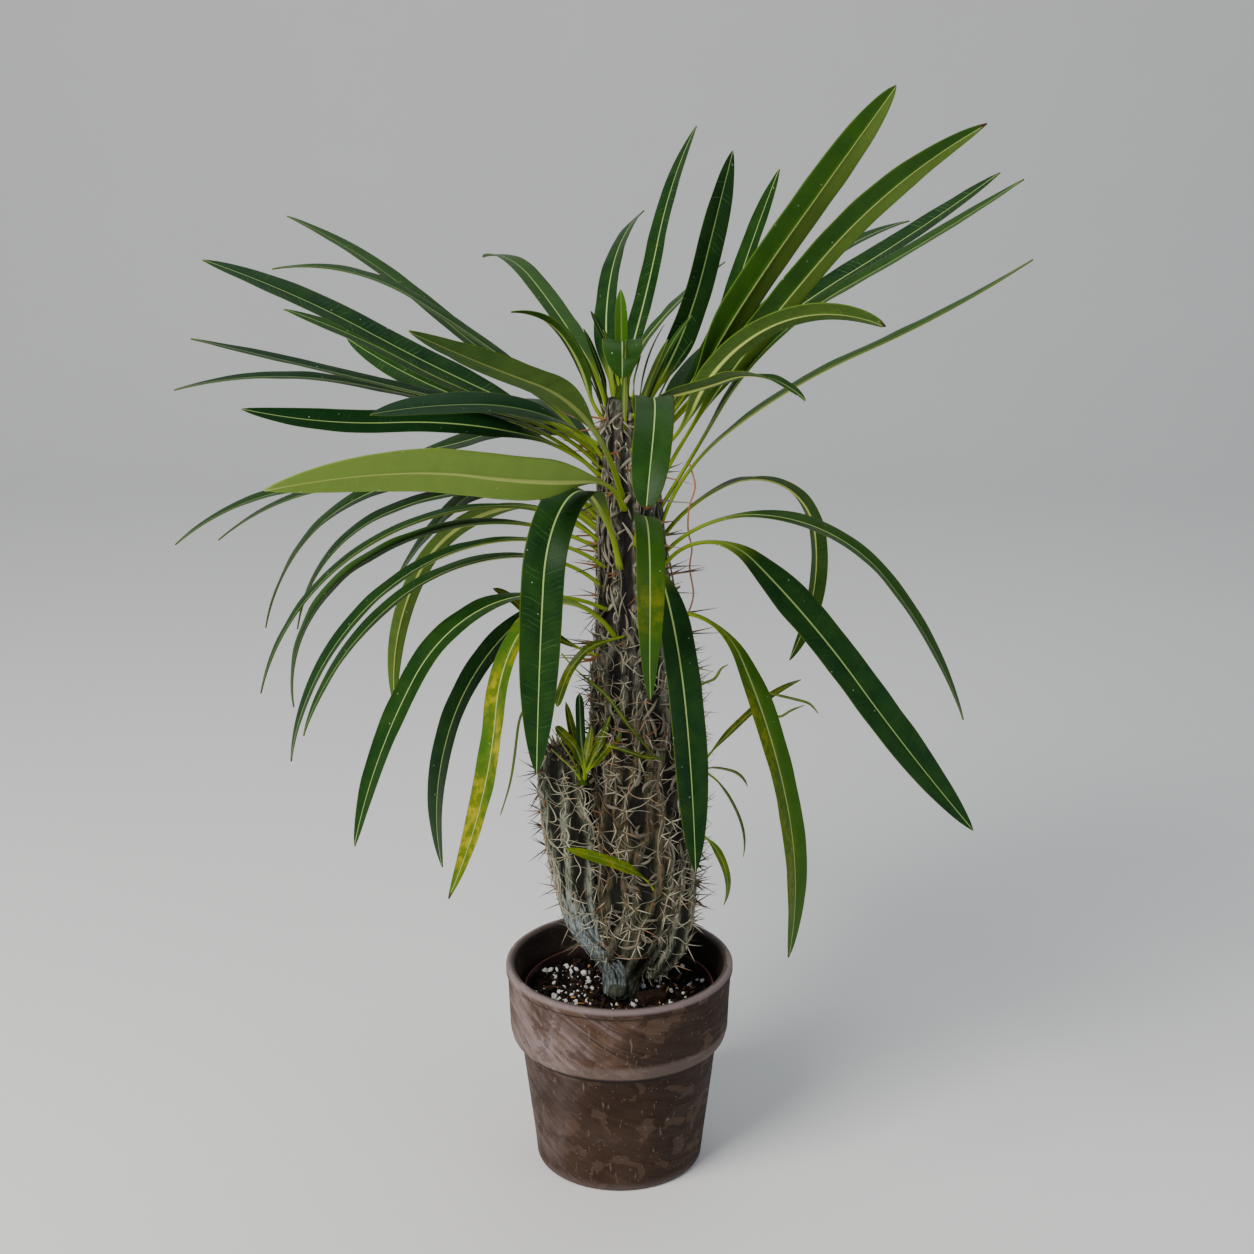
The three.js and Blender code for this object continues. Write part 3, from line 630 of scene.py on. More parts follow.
def bark_material():
    """Thorny bark: pale fibrous ribs over hollows painted near-black as shade, leaf scars, and green, brown
    or bluish skin.

    bark_mark holds crest, scar rim and scar floor; bark_tone paleness, brownness and greenness; bark_blue
    blueness."""
    shade = Shade("bark")
    crest, rim, floor = shade.numbers("bark_mark")
    pale, brown, green = shade.numbers("bark_tone")
    blue = shade.attribute("bark_blue", "Fac")
    strands = shade.grain(1.8, detail=4, rough=0.7, warp=0.3, at=shade.stretch((1, 1, 0.12)))
    cloud = shade.grain(12, detail=5, rough=0.65)
    grit = shade.grain(1.6, detail=4, rough=0.7)
    rust = shade.grain(7, detail=4, at=shade.stretch((1, 1, 1), (0.4, 0.2, 0)))

    shade.color = shade.blend(pale, (0.098, 0.096, 0.070), (0.46, 0.49, 0.385))
    shade.coat(brown, (0.165, 0.105, 0.050), 0.85)
    shade.coat(blue, (0.36, 0.415, 0.405))
    ridges = shade.color
    shade.color = shade.blend(pale, (0.024, 0.021, 0.017), (0.125, 0.125, 0.092))
    shade.coat(brown, (0.042, 0.025, 0.011))
    shade.coat(green, (0.085, 0.115, 0.048), 0.85)
    shade.coat(blue, (0.088, 0.115, 0.118))
    ridge = strands * 1.1 + crest * 0.30
    shade.coat(ridge.step(0.66, 0.94), ridges)
    shade.coat(cloud.step(0.52, 0.75, 0, 0.4), (0.035, 0.025, 0.018))
    shade.coat(rust.step(0.64, 0.71) * brown, (0.28, 0.100, 0.022), 0.75)
    slit = strands.fall(0.36, 0.47) * blue.step(0, 1, 0.85, 0.55)
    shade.coat(slit, (0.009, 0.0075, 0.005))
    # Painted shade: the hollows between the ribs go near-black.
    shade.coat(crest.fall(0.14, 0.56), (0.007, 0.0055, 0.004), 0.94)
    shade.coat(floor, (0.040, 0.032, 0.026), 0.7)
    shade.coat(rim * grit.step(0.35, 0.6, 0.15, 0.75), (0.40, 0.38, 0.32))
    shade.coat(grit.step(0.62, 0.8, 0, 0.28), (0.30, 0.28, 0.21))
    relief = strands + grit * 0.7 + cloud * 0.4
    return shade.surface(cloud.step(0.3, 0.7, 0.66, 0.90), relief, 1.0, Specular_IOR_Level=0.3)


def spine_material():
    """Spines and dry fibres, from bleached to nearly black.

    spine_look holds paleness, redness and the share along."""
    shade = Shade("spine")
    pale, red, travel = shade.numbers("spine_look")
    streak = shade.grain(2.5, detail=3)
    shade.color = shade.blend(pale, (0.018, 0.012, 0.009), (0.68, 0.64, 0.45))
    shade.coat(red, (0.42, 0.120, 0.022), 0.85)
    root = travel.step(0.10, 0.40, 0.85, 0) * pale.step(0.3, 0.7, 1, 0.2)
    shade.coat(root, (0.33, 0.150, 0.045))
    shade.coat(travel.step(0.7, 1.0, 0, 0.6), (0.040, 0.025, 0.018))
    shade.coat(streak.step(0.5, 0.75, 0, 0.4), (0.13, 0.098, 0.062))
    return shade.surface(0.58, streak, 0.15)


LEAF_MATERIALS = {slot: leaf_material(slot) for slot in ("leaf", "young_leaf", "yellowing_leaf")}
CLAY = clay_material()
NURSERY_PLASTIC = nursery_material()
SOIL = soil_material()
BARK = bark_material()
SPINE = spine_material()
PERLITE = grain_material("perlite", (0.30, 0.27, 0.23), (0.82, 0.81, 0.78), 1.5, 0.85)
CHIPS = grain_material("bark_chips", (0.010, 0.006, 0.004), (0.105, 0.042, 0.017), 2.5, 0.8)
BITS = grain_material("orange_bits", (0.12, 0.020, 0.006), (0.62, 0.33, 0.10), 2, 0.7)
CRUMBS = grain_material("soil_crumbs", (0.003, 0.0022, 0.0018), (0.026, 0.016, 0.010), 2, 0.85)


# ------------------------------------------------------------------ pots


def lathe(profile, sides):
    """Points and faces of a profile turned about the pot's axis, on which it starts and ends."""
    profile = np.asarray(profile, float)
    ring = profile[1:-1]
    x = ring[:, :1] * np.cos(turns(sides))
    y = ring[:, :1] * np.sin(turns(sides))
    z = np.repeat(ring[:, 1:], sides, axis=1)
    poles = [[0, 0, profile[0, 1]], [0, 0, profile[-1, 1]]]
    points = np.concatenate([np.stack([x, y, z], -1).reshape(-1, 3), poles])
    return points, globe_faces(len(ring), sides)


ROUNDING_POINTS = 7                # points over each rounded corner of a profile


def rounded(corners, spacing):
    """A profile through corners (radius, height, rounding), as points about spacing apart."""
    points = []
    for k, (x, z, rounding) in enumerate(corners):
        here = np.array([x, z], float)
        if rounding == 0 or k in (0, len(corners) - 1):
            points.append(here)
            continue
        before = np.array(corners[k - 1][:2], float)
        after = np.array(corners[k + 1][:2], float)
        start = here + unit(before - here) * rounding
        end = here + unit(after - here) * rounding
        for share in np.linspace(0, 1, ROUNDING_POINTS):
            points.append((1 - share) ** 2 * start + 2 * share * (1 - share) * here + share ** 2 * end)
    filled = [points[0]]
    for point in points[1:]:
        steps = max(1, int(np.linalg.norm(point - filled[-1]) / spacing))
        filled += [mix(filled[-1], point, (k + 1) / steps) for k in range(steps)]
    return np.array(filled)


def drill(piece, count, turn):
    """Cuts round drain holes through a pot's floor."""
    for k in range(count):
        angle = turn + TAU * k / count
        where = (DRAIN_CIRCLE * math.cos(angle) * MM, DRAIN_CIRCLE * math.sin(angle) * MM, 0)
        bpy.ops.mesh.primitive_cylinder_add(vertices=32, radius=DRAIN_RADIUS * MM, depth=60 * MM,
                                            location=where)
        cutter = bpy.context.object
        cut = piece.modifiers.new("drain_hole", "BOOLEAN")
        cut.object = cutter
        cut.operation = "DIFFERENCE"
        bpy.context.view_layer.objects.active = piece
        bpy.ops.object.modifier_apply(modifier=cut.name)
        bpy.data.objects.remove(cutter)


def clay_pot():
    """The pot's wall, uneven as if thrown by hand, with the attributes that its material reads."""
    crease = POT_HEIGHT - POT_COLLAR_HEIGHT
    body = POT_BODY_TOP_RADIUS
    collar = body + POT_COLLAR_STEP
    inner = POT_RIM_RADIUS - POT_WALL
    base = POT_BASE_RADIUS - POT_WALL
    profile = rounded([
        (0, 0, 0), (POT_BASE_RADIUS, 0, 3), (body, crease - 0.5, 0.6), (body + 0.6, crease + 0.8, 0.5),
        (collar - 1.6, crease + 4.6, 1.6), (collar, crease + 12, 3),
        (POT_RIM_RADIUS - 1.3, POT_HEIGHT - 7.6, 0.5), (POT_RIM_RADIUS - 0.1, POT_HEIGHT - 6.4, 0.6),
        (POT_RIM_RADIUS, POT_HEIGHT, 2.6), (inner, POT_HEIGHT, 2.4), (inner - 2.5, crease + 14, 4),
        (body - 5, crease - 1, 4), (base, POT_FLOOR, 3), (0, POT_FLOOR, 0),
    ], spacing=2.9)
    points, faces = lathe(profile, sides=180)
    reach = np.hypot(points[:, 0], points[:, 1])
    height = points[:, 2]
    wall = smoothstep(reach, 45, 55)
    dent = 0.28 * noise(points, 22, 3) + 0.10 * noise(points * (1, 1, 3), 7, 4)
    ring = 0.05 * np.sin(height * 2.1 + 0.8 * noise(points, 30, 5))
    shift = wall * (dent + ring) * smoothstep(height, 0.2, 4)
    points[:, :2] *= (1 + shift / np.maximum(reach, 1))[:, None]

    piece = make_piece("clay_pot_look", points, faces, CLAY, "clay", replaced=["clay_pot"])
    drill(piece, 3, math.pi / 6)

    points = np.array([vertex.co for vertex in piece.data.vertices]) / MM
    reach = np.hypot(points[:, 0], points[:, 1])
    height = points[:, 2]
    arc = 0.50 * points[:, 0] - 24 * np.log(np.cosh(points[:, 0] / 50))
    across = height + arc + 4 * noise(points, 45, 9) + 1.5 * noise(points, 18, 10)
    swirl = np.stack([0.10 * points[:, 0], 0.10 * points[:, 1], across], -1) * MM
    middle_wall = np.interp(height, [0, crease - 1, crease + 14, POT_HEIGHT],
                            [POT_BASE_RADIUS - 3, body - 2.5, inner + 0.8, POT_RIM_RADIUS - 4])
    inside = ((reach < middle_wall) & (height > POT_FLOOR - 0.5)).astype(float)
    # More slip towards the left: partly the slip's own spread, partly painted light on the side that faces
    # the key light.
    slip_and_lit_side = smoothstep(-points[:, 0], -75, 75) * (0.75 + 0.25 * noise(points, 40, 6))
    attach(piece.data, {"pot_swirl": swirl, "pot_side": np.stack([inside, height / POT_HEIGHT, slip_and_lit_side], -1)})


def nursery_pot():
    """The thin plastic pot inside the clay one."""
    top, wall = NURSERY_TOP_RADIUS, NURSERY_WALL
    floor = NURSERY_BASE + wall
    slope = (top - NURSERY_BASE_RADIUS) / (NURSERY_TOP - NURSERY_BASE)
    profile = rounded([
        (0, NURSERY_BASE, 0), (NURSERY_BASE_RADIUS, NURSERY_BASE, 1), (top, NURSERY_TOP, 0.5),
        (top - wall, NURSERY_TOP, 0.5), (NURSERY_BASE_RADIUS + slope * wall - wall, floor, 1),
        (0, floor, 0),
    ], spacing=6)
    points, faces = lathe(profile, sides=108)
    points[:, 2] += 0.5 * smoothstep(points[:, 2], 120, NURSERY_TOP) * noise(points * (1, 1, 0), 30, 12)
    piece = make_piece("nursery_pot_look", points, faces, NURSERY_PLASTIC, "nursery_plastic",
                       replaced=["nursery_pot"])
    drill(piece, 4, math.pi / 4)


# ------------------------------------------------------------------ soil


def soil_height(x, y):
    """Heights of the soil's top as in the CAD."""
    return SOIL_LEVEL + SOIL_ROUGHNESS * (np.sin(0.21 * x + 1.1) * np.cos(0.17 * y - 0.4)
                                          + 0.5 * np.sin(0.09 * x - 0.23 * y)) / 1.5


def soil_surface(x, y):
    """Heights of the soil's lumpy top."""
    flat = np.stack([x, y, 0 * x], -1)
    lumps = 0.9 * noise(flat, 7, 31) + 0.6 * noise(flat, 3, 32) + 0.3 * noise(flat, 1.4, 33)
    return soil_height(x, y) + lumps


def nursery_inside(height):
    """Radius of the soil at a height, just inside the nursery pot's wall."""
    share = (height - NURSERY_BASE) / (NURSERY_TOP - NURSERY_BASE)
    return mix(NURSERY_BASE_RADIUS, NURSERY_TOP_RADIUS, share) - NURSERY_WALL - 0.35


# Bits in the soil lie within these distances of the pot's axis.
GRAIN_EDGE = 66
STRIP_EDGE = 58

# Name, material, count, sizes, squash, tones, seed, roughness and subdivisions
GRAINS = [
    ("soil_crumbs", CRUMBS, 1100, (0.7, 3.0), (0.5, 1), (0, 1), 51, 0.5, 1),
    ("perlite_grains", PERLITE, 420, (0.4, 2.5), (0.55, 1), (0.5, 1), 52, 0.4, 2),
    ("orange_bits", BITS, 46, (0.5, 1.9), (0.4, 1), (0, 1), 55, 0.5, 2),
]

# Name, material, count, lengths, widths, tones, seed and tilt
STRIPS = [
    ("bark_chips", CHIPS, 46, (3, 11), (1.0, 3.2), (0, 0.8), 53, 0.25),
    ("soil_twigs", CHIPS, 34, (8, 26), (0.5, 1.2), (0.2, 1), 54, 0.7),
    ("straw_bits", BITS, 9, (5, 11), (0.8, 1.5), (0.6, 1), 56, 0.8),
]


def soil_body():
    sides, top_rings = 220, 62
    edge = nursery_inside(SOIL_LEVEL - 1)
    rings = [(nursery_inside(SOIL_BOTTOM), SOIL_BOTTOM), (edge, SOIL_LEVEL - 1)]
    rings += [(radius, None) for radius in np.linspace(edge - 0.8, 0.8, top_rings)]
    points = []
    for radius, height in rings:
        x, y = radius * np.cos(turns(sides)), radius * np.sin(turns(sides))
        z = soil_surface(x, y) if height is None else np.full(sides, float(height))
        points.append(np.stack([x, y, z], -1))
    make_piece("soil_look", np.concatenate(points), tube_faces(len(rings), sides), SOIL, "soil",
               replaced=["soil"])


def lump_shape(subdivisions=2):
    """Points and faces of a ball of 80 triangles, or of 20 at one subdivision."""
    bpy.ops.mesh.primitive_ico_sphere_add(subdivisions=subdivisions, radius=1)
    ball = bpy.context.object
    points = np.array([vertex.co for vertex in ball.data.vertices])
    faces = [list(face.vertices) for face in ball.data.polygons]
    bpy.data.objects.remove(ball)
    return points, faces


def turned(points, random):
    """Points turned at random about their origin."""
    return points @ np.array(Euler(random.uniform(0, TAU, 3)).to_matrix()).T


def in_the_way(x, y):
    """Whether a place on the soil lies in the stem's foot."""
    at_trunk = math.hypot(x - TRUNK[2, 1], y) < 17
    return at_trunk or math.hypot(x - FOOT_NUB["x"], y - FOOT_NUB["y"]) < 9


def soil_at(x, y):
    return float(soil_surface(np.array(x), np.array(y)))


def scattered(random, count, edge):
    """Places on the soil, clear of the stem and denser at the front and on the left."""
    found = []
    while len(found) < count:
        angle, reach = random.uniform(0, TAU), edge * math.sqrt(random.uniform(0.05, 1))
        x, y = reach * math.cos(angle), reach * math.sin(angle)
        if random.uniform() < 0.65 - 0.006 * (x + y) and not in_the_way(x, y):
            found.append((x, y))
    return found


def strewn(name, material, count, sizes, squash, tones, seed, roughness, subdivisions):
    """Grains of random size, shape and turn, half sunk in the soil."""
    random = np.random.default_rng(seed)
    ball, faces = lump_shape(subdivisions)
    grains = Parts()
    for x, y in scattered(random, count, GRAIN_EDGE):
        size = mix(*sizes, random.uniform() ** 2)
        stretch = (1, random.uniform(*squash), random.uniform(*squash))
        lumpy = ball * (1 + roughness * noise(ball * 10 + random.uniform(0, 900, 3), 7, seed))[:, None]
        grain = turned(lumpy * stretch, random) * size
        grain += (x, y, soil_at(x, y) + 0.25 * size)
        grains.add(grain, faces, piece_tone=random.uniform(*tones))
    grains.make(name, material, "soil", smooth=False)


def strips(name, material, count, lengths, widths, tones, seed, tilt):
    """Flat chips and twigs that lie on the soil."""
    random = np.random.default_rng(seed)
    chips = Parts()
    for x, y in scattered(random, count, STRIP_EDGE):
        length, width = random.uniform(*lengths), random.uniform(*widths)
        heading, climb = random.uniform(0, TAU), random.uniform(-0.4 * tilt, tilt)
        steps = np.linspace(-0.5, 0.5, 6)
        bend = random.uniform(-0.12, 0.12)
        curve = (bend * length * (4 * steps ** 2))[:, None]
        line = steps[:, None] * length * aim(heading, climb) + curve * aim(heading + math.pi / 2, 0)
        line += (x, y, soil_at(x, y) + 0.5 * width + 0.5 * length * abs(math.sin(climb)))
        points, faces = tube(line, width / 2 * (1 - 0.6 * (2 * np.abs(steps)) ** 3), 6)
        points[:, 2] = mix(line[:, 2].mean(), points[:, 2], 0.75)
        chips.add(points, faces, piece_tone=random.uniform(*tones))
    chips.make(name, material, "soil", smooth=False)


def bark_chunk():
    """The square dark chunk that lies in front of the stem."""
    rows, sides = 26, 60
    squareness = 6                 # 2 would be a ball
    size = np.array([BARK_CHUNK["length"], BARK_CHUNK["depth"], BARK_CHUNK["height"]]) / 2
    climb = np.linspace(-math.pi / 2, math.pi / 2, rows + 2)[1:-1]
    ball = aim(turns(sides)[None, :], climb[:, None]).reshape(-1, 3)
    ball = np.concatenate([ball, [[0, 0, -1], [0, 0, 1]]])
    ball = ball / (np.abs(ball) ** squareness).sum(1, keepdims=True) ** (1 / squareness)
    points = ball * (size - 0.6)
    rough = 0.7 * noise(points, 2.2, 41) + 0.5 * noise(points, 1.1, 42)
    points = points * (1 + rough / 12)[:, None]
    turn = BARK_CHUNK["turn"]
    spin = np.array([[math.cos(turn), -math.sin(turn), 0], [math.sin(turn), math.cos(turn), 0], [0, 0, 1]])
    points = points @ spin.T + (BARK_CHUNK["x"], BARK_CHUNK["y"], SOIL_LEVEL - 1)
    make_piece("bark_chunk", points, globe_faces(rows, sides), CHIPS, "soil",
               {"piece_tone": np.full(len(points), 0.12)})


def soil():
    soil_body()
    bark_chunk()
    for row in GRAINS:
        strewn(*row)
    for row in STRIPS:
        strips(*row)


# ------------------------------------------------------------------ stem

TRUNK_RIBS = 20                    # every second one fades out where the trunk is thin
LEFT_RIBS = 8
RIGHT_RIBS = 6
RIB_WIDTH = 3.7
RIB_HEIGHT = 3.6
BOSS_SPACING = 15
BOSS_WIDTH = 4.6
BOSS_LENGTH = 7.5
BOSS_HEIGHT = 1.5
SCAR_RISE = 4.5                    # a leaf scar's height over its boss
ROOT_STRANDS = 22
FOOT = (136, 172)                  # the trunk's ribs and bosses grow from nothing between these heights
NECK = (370, 430)                  # the bark turns from old and fibrous to young and scarred between these


def column_at(column, height):
    """Centre x, centre y and radius of a column at heights."""
    return [np.interp(height, column[:, 0], column[:, k]) for k in (1, 2, 3)]


def crest_angle(rib, ribs, height):
    """Angle of a rib's crest at heights; the ribs wander and lean a little."""
    phase = rib % ribs
    wander = 0.10 * np.sin(height / 21 + 2.4 * phase) + 0.06 * np.sin(height / 9.5 + 5.1 * phase)
    return TAU * rib / ribs + 0.0022 * height + wander * min(1, 12 / ribs + 0.2)


def rib_strength(rib, ribs, radius):
    """How far a rib is raised, from 0 to 1: every second rib of the trunk fades out where it is thin."""
    return smoothstep(radius, 25, 33) * 0.85 if ribs == TRUNK_RIBS and rib % 2 else np.ones_like(radius)


def bosses_on(column, ribs, low, high):
    """Heights and angles of the bosses along a column's ribs."""
    random = np.random.default_rng(ribs)
    found = []
    for rib in range(ribs):
        height = low + BOSS_SPACING * ((rib * 0.382 + random.uniform(0, 0.4)) % 1)
        while height < high:
            if rib_strength(rib, ribs, column_at(column, height)[2]) > 0.4:
                found.append((height, float(crest_angle(rib, ribs, height)) % TAU))
            height += BOSS_SPACING * random.uniform(0.85, 1.15)
    return np.array(found).T


def skin(column, ribs, bosses, sides, spacing, seed):
    """A column's skin with its ribs, bosses and leaf scars: points, faces and marks."""
    count = int((column[-1, 0] - column[0, 0]) / spacing)
    height = np.linspace(column[0, 0], column[-1, 0], count + 1)
    angle = turns(sides)
    x, y, radius = column_at(column, height)

    def across(facing):
        turn = (angle[None, :] - np.reshape(facing, (-1, 1)) + math.pi) % TAU - math.pi
        return radius[:, None] * turn

    rib = np.zeros((count + 1, sides))
    for k in range(ribs):
        raised = rib_strength(k, ribs, radius)[:, None]
        rib = np.maximum(rib, raised * np.exp(-(across(crest_angle(k, ribs, height)) / RIB_WIDTH) ** 2))
    boss, rim, floor = np.zeros_like(rib), np.zeros_like(rib), np.zeros_like(rib)
    for at, facing in bosses.T:
        up = (height - at)[:, None]
        aside = across(facing)
        reach = np.hypot(aside / BOSS_WIDTH, up / BOSS_LENGTH)
        boss = np.maximum(boss, np.clip(1 - reach ** 2, 0, 1))
        scar = np.hypot(aside / (1.7 + 0.12 * up), (up - SCAR_RISE) / (3.6 + 0.9 * math.sin(23 * at)))
        shown = np.clip(1.5 * math.sin(37 * at + 11 * facing), 0.12, 1)
        rim = np.maximum(rim, shown * np.exp(-((scar - 1) / 0.24) ** 2))
        floor = np.maximum(floor, smoothstep(-scar, -0.9, -0.6))

    outward = np.stack([np.cos(angle), np.sin(angle), 0 * angle], -1)
    bare = np.stack([x, y, height], -1)[:, None] + radius[:, None, None] * outward[None]
    flat = bare.reshape(-1, 3)
    fold = 1 - np.abs(noise(flat * (1, 1, 0.16), 5, seed)).reshape(rib.shape)
    rough = noise(flat * (1, 1, 0.4), 2.2, seed + 1).reshape(rib.shape)
    uneven = 0.8 + 0.35 * noise(flat * (1, 1, 0.6), 16, seed + 2).reshape(rib.shape)
    neck = smoothstep(height, *NECK)[:, None]
    relief = RIB_HEIGHT * rib * uneven * mix(1, 0.75, neck) + BOSS_HEIGHT * boss + 1.3 * fold ** 3
    relief += 0.35 * rough + neck * (0.5 * rim - 0.7 * floor) - 2.6
    foot = smoothstep(height, column[0, 0] if ribs != TRUNK_RIBS else FOOT[0], FOOT[1])[:, None]
    points = bare + (relief * mix(0.3, 1, foot))[..., None] * outward[None]
    broken = smoothstep(noise(flat * (1, 1, 0.55), 8, seed + 3), -0.75, 0.25).reshape(rib.shape)
    crest = np.clip(0.80 * rib * mix(0.35, 1, broken) + 0.40 * boss + 0.20 * fold ** 3, 0, 1)
    marks = np.stack([mix(0.6, crest, foot), rim * neck, floor * neck], -1)
    return points.reshape(-1, 3), tube_faces(count + 1, sides), marks.reshape(-1, 3)


def tones(points, pale, brown, green):
    """Paleness, brownness and greenness of bark at points, from three numbers and some noise."""
    patch = noise(points, 26, 61)
    finer = noise(points, 9, 62)
    values = [pale + 0.22 * patch + 0.15 * finer, brown - 0.3 * patch + 0.2 * finer,
              green + 0.35 * noise(points, 18, 63)]
    return np.clip(np.stack(np.broadcast_arrays(*values), -1), 0, 1)


def root_strands(bark):
    """Smooth bluish cords that run from the left arm's underside down into the foot."""
    random = np.random.default_rng(83)
    share = np.linspace(0, 1, 40)
    height = mix(246, SOIL_LEVEL, share)
    # Each cord's crest falls low on one side, where the bark's material paints near-black shade.
    crest = [1, 0.95, 0.7, 0.3, 0.1, 0.3, 0.7, 0.95]
    lower = smoothstep(share, 0.50, 0.90)
    for k in range(ROOT_STRANDS):
        start = math.radians(mix(168, 262, k / (ROOT_STRANDS - 1)) + random.uniform(-4, 4))
        end = math.radians(mix(186, 276, k / (ROOT_STRANDS - 1)))
        wave = 0.16 * np.sin(share * random.uniform(5, 9) + random.uniform(0, TAU))
        angle = mix(start, end, share) + wave
        radius = random.uniform(0.8, 1.8) * mix(0.15, 1, smoothstep(share, 0, 0.4))
        places = []
        for column in (LEFT_ARM, TRUNK):
            x, y, reach = column_at(column, np.maximum(height, column[0, 0]))
            lift = reach + 0.2 * radius - 2.5 * smoothstep(-share, -0.25, 0)
            places.append(np.stack([x + lift * np.cos(angle), y + lift * np.sin(angle), height], -1))
        line = mix(places[0], places[1], lower[:, None])
        points, faces = tube(line, radius, len(crest))
        marks = np.outer(np.tile(crest, len(line)), (1, 0, 0))
        blue = np.repeat(smoothstep(share, 0.1, 0.5) * 0.95, len(crest))
        bark.add(points, faces, bark_mark=marks, bark_tone=(0.6, 0, 0.3), bark_blue=blue)


TRUNK_BOSSES = bosses_on(TRUNK, TRUNK_RIBS, 162, 578)
LEFT_BOSSES = bosses_on(LEFT_ARM, LEFT_RIBS, 165, 326)
RIGHT_BOSSES = bosses_on(RIGHT_ARM, RIGHT_RIBS, 160, 296)


def stem_skin():
    """Trunk, arms, nub and root strands, with the attributes that the bark's material reads."""
    bark = Parts()
    points, faces, marks = skin(TRUNK, TRUNK_RIBS, TRUNK_BOSSES, sides=190, spacing=1.55, seed=71)
    height, facing = points[:, 2], points[:, 0] - column_at(TRUNK, points[:, 2])[0]
    pale = np.interp(height, [130, 150, 190, 300, 400, 450, 585],
                     [0.45, 0.40, 0.20, 0.05, 0.20, -0.10, -0.20])
    brown = np.interp(height, [130, 175, 205, 340, 380, 410], [0.05, 0.4, 1.0, 1.0, 0.3, 0.05])
    brown = brown * smoothstep(-facing, -30, -8)
    green = np.interp(height, [130, 180, 300, 420], [0.15, 0.45, 0.25, 0.1])
    blue = 0.85 * smoothstep(-height, -172, -150) * smoothstep(-facing, -6, 6)
    bark.add(points, faces, bark_mark=marks, bark_tone=tones(points, pale, brown, green), bark_blue=blue)
    points, faces, marks = skin(LEFT_ARM, LEFT_RIBS, LEFT_BOSSES, sides=104, spacing=1.4, seed=73)
    pale = np.interp(points[:, 2], [145, 200, 285, 306, 331], [0.65, 0.78, 0.65, 0.10, 0])
    blue = 0.9 * smoothstep(-points[:, 2], -235, -180)
    green = 0.55 * (points[:, 2] < 308)
    bark.add(points, faces, bark_mark=marks, bark_tone=tones(points, pale, 0.05, green), bark_blue=blue)
    points, faces, marks = skin(RIGHT_ARM, RIGHT_RIBS, RIGHT_BOSSES, sides=76, spacing=1.4, seed=75)
    pale = np.interp(points[:, 2], [150, 185, 300], [1.0, 0.7, 0.6])
    bark.add(points, faces, bark_mark=marks, bark_tone=tones(points, pale, 0.35, 0.45), bark_blue=0)

    ball, faces = lump_shape()
    nub = ball * FOOT_NUB["radius"] * (1, 1, 0.8) + (FOOT_NUB["x"], FOOT_NUB["y"], FOOT_NUB["z"])
    bark.add(nub, faces, bark_mark=(0.5, 0, 0), bark_tone=(0.05, 0, 0.4), bark_blue=0.12)
    root_strands(bark)
    bark.make("stem_bark", BARK, "bark", ["stem"])


SPINE_STEPS = np.array([-0.15, 0.08, 0.42, 0.75, 1.0])
SPINE_TAPER = np.array([1.0, 0.95, 0.64, 0.33, 0.05])
SPINE_SIDES = 5
SPINE_BEND = 0.10


def star(spines, random, base, normal, tangent, rows):
    """Tapered, slightly bent spines from one boss.

    A row is angle from the normal, direction round it, length, radius, paleness and redness."""
    travel = np.repeat(np.clip(SPINE_STEPS, 0, 1), SPINE_SIDES)
    for spread, turn, length, radius, pale, red in rows:
        aside = math.cos(turn) * tangent + math.sin(turn) * np.array([0, 0, 1])
        direction = math.cos(spread) * normal + math.sin(spread) * aside
        bend = np.cross(direction, aside) * random.uniform(-1, 1) + aside * random.uniform(-0.6, 0.6)
        curve = SPINE_BEND * length * np.clip(SPINE_STEPS, 0, 1) ** 2
        line = base + SPINE_STEPS[:, None] * length * direction + curve[:, None] * bend
        points, faces = tube(line, radius * SPINE_TAPER, SPINE_SIDES)
        spines.add(points, faces, spine_look=np.stack([0 * travel + pale, 0 * travel + red, travel], -1))


def young_star(random, pale):
    """Two long dark spines that point apart and a short one, as on young bark."""
    rows = []
    for turn in (0.25, math.pi - 0.25):
        red = random.uniform(0.4, 1) if random.uniform() < 0.5 else 0
        rows.append((random.uniform(0.2, 0.55), turn + random.uniform(-0.5, 0.3), random.uniform(19, 34),
                     random.uniform(0.75, 1.05), np.clip(pale + random.uniform(-0.1, 0.25), 0, 1), red))
    if random.uniform() < 0.6:
        rows.append((random.uniform(0.5, 1.0), random.uniform(-2.2, -0.9), random.uniform(7, 14),
                     0.55, pale, 0))
    return rows


def old_star(random, facing):
    """Spines all round, as on old bark: short and pale at the front, long and dark at the sides."""
    start, count = random.uniform(0, TAU), random.integers(2, 6) + (facing < 0.3)
    rows = []
    for k in range(count):
        turn = start + TAU * (k + random.uniform(-0.35, 0.35)) / count
        red = random.uniform(0.4, 1) if random.uniform() < 0.10 else 0
        length = mix(8, 15, random.uniform() ** 1.3) * mix(1.5, 1, facing)
        radius = random.uniform(0.36, 0.56) * mix(1.4, 1, facing)
        rows.append((random.uniform(0.45, 1.40) * mix(0.75, 1, facing), turn, length, radius,
                     np.clip(facing + random.uniform(-0.45, 0.2), 0, 1), red))
    return rows


def spines_on(column, bosses, random, spines):
    """A star of spines on many of the bosses: pale where it faces the front, dark on the sides and on young
    bark.
    """
    for height, angle in bosses.T:
        x, y, radius = column_at(column, height)
        normal = np.array([math.cos(angle), math.sin(angle), 0])
        tangent = np.array([-math.sin(angle), math.cos(angle), 0])
        base = np.array([x, y, height + 1.5]) + (radius + 1.2) * normal
        young = random.uniform() < smoothstep(height, *NECK)
        if random.uniform() < (0.50 if young else 0.22):
            continue
        rows = young_star(random, 0.05) if young else old_star(random, smoothstep(-normal[1], 0.1, 0.75))
        star(spines, random, base, normal, tangent, rows)


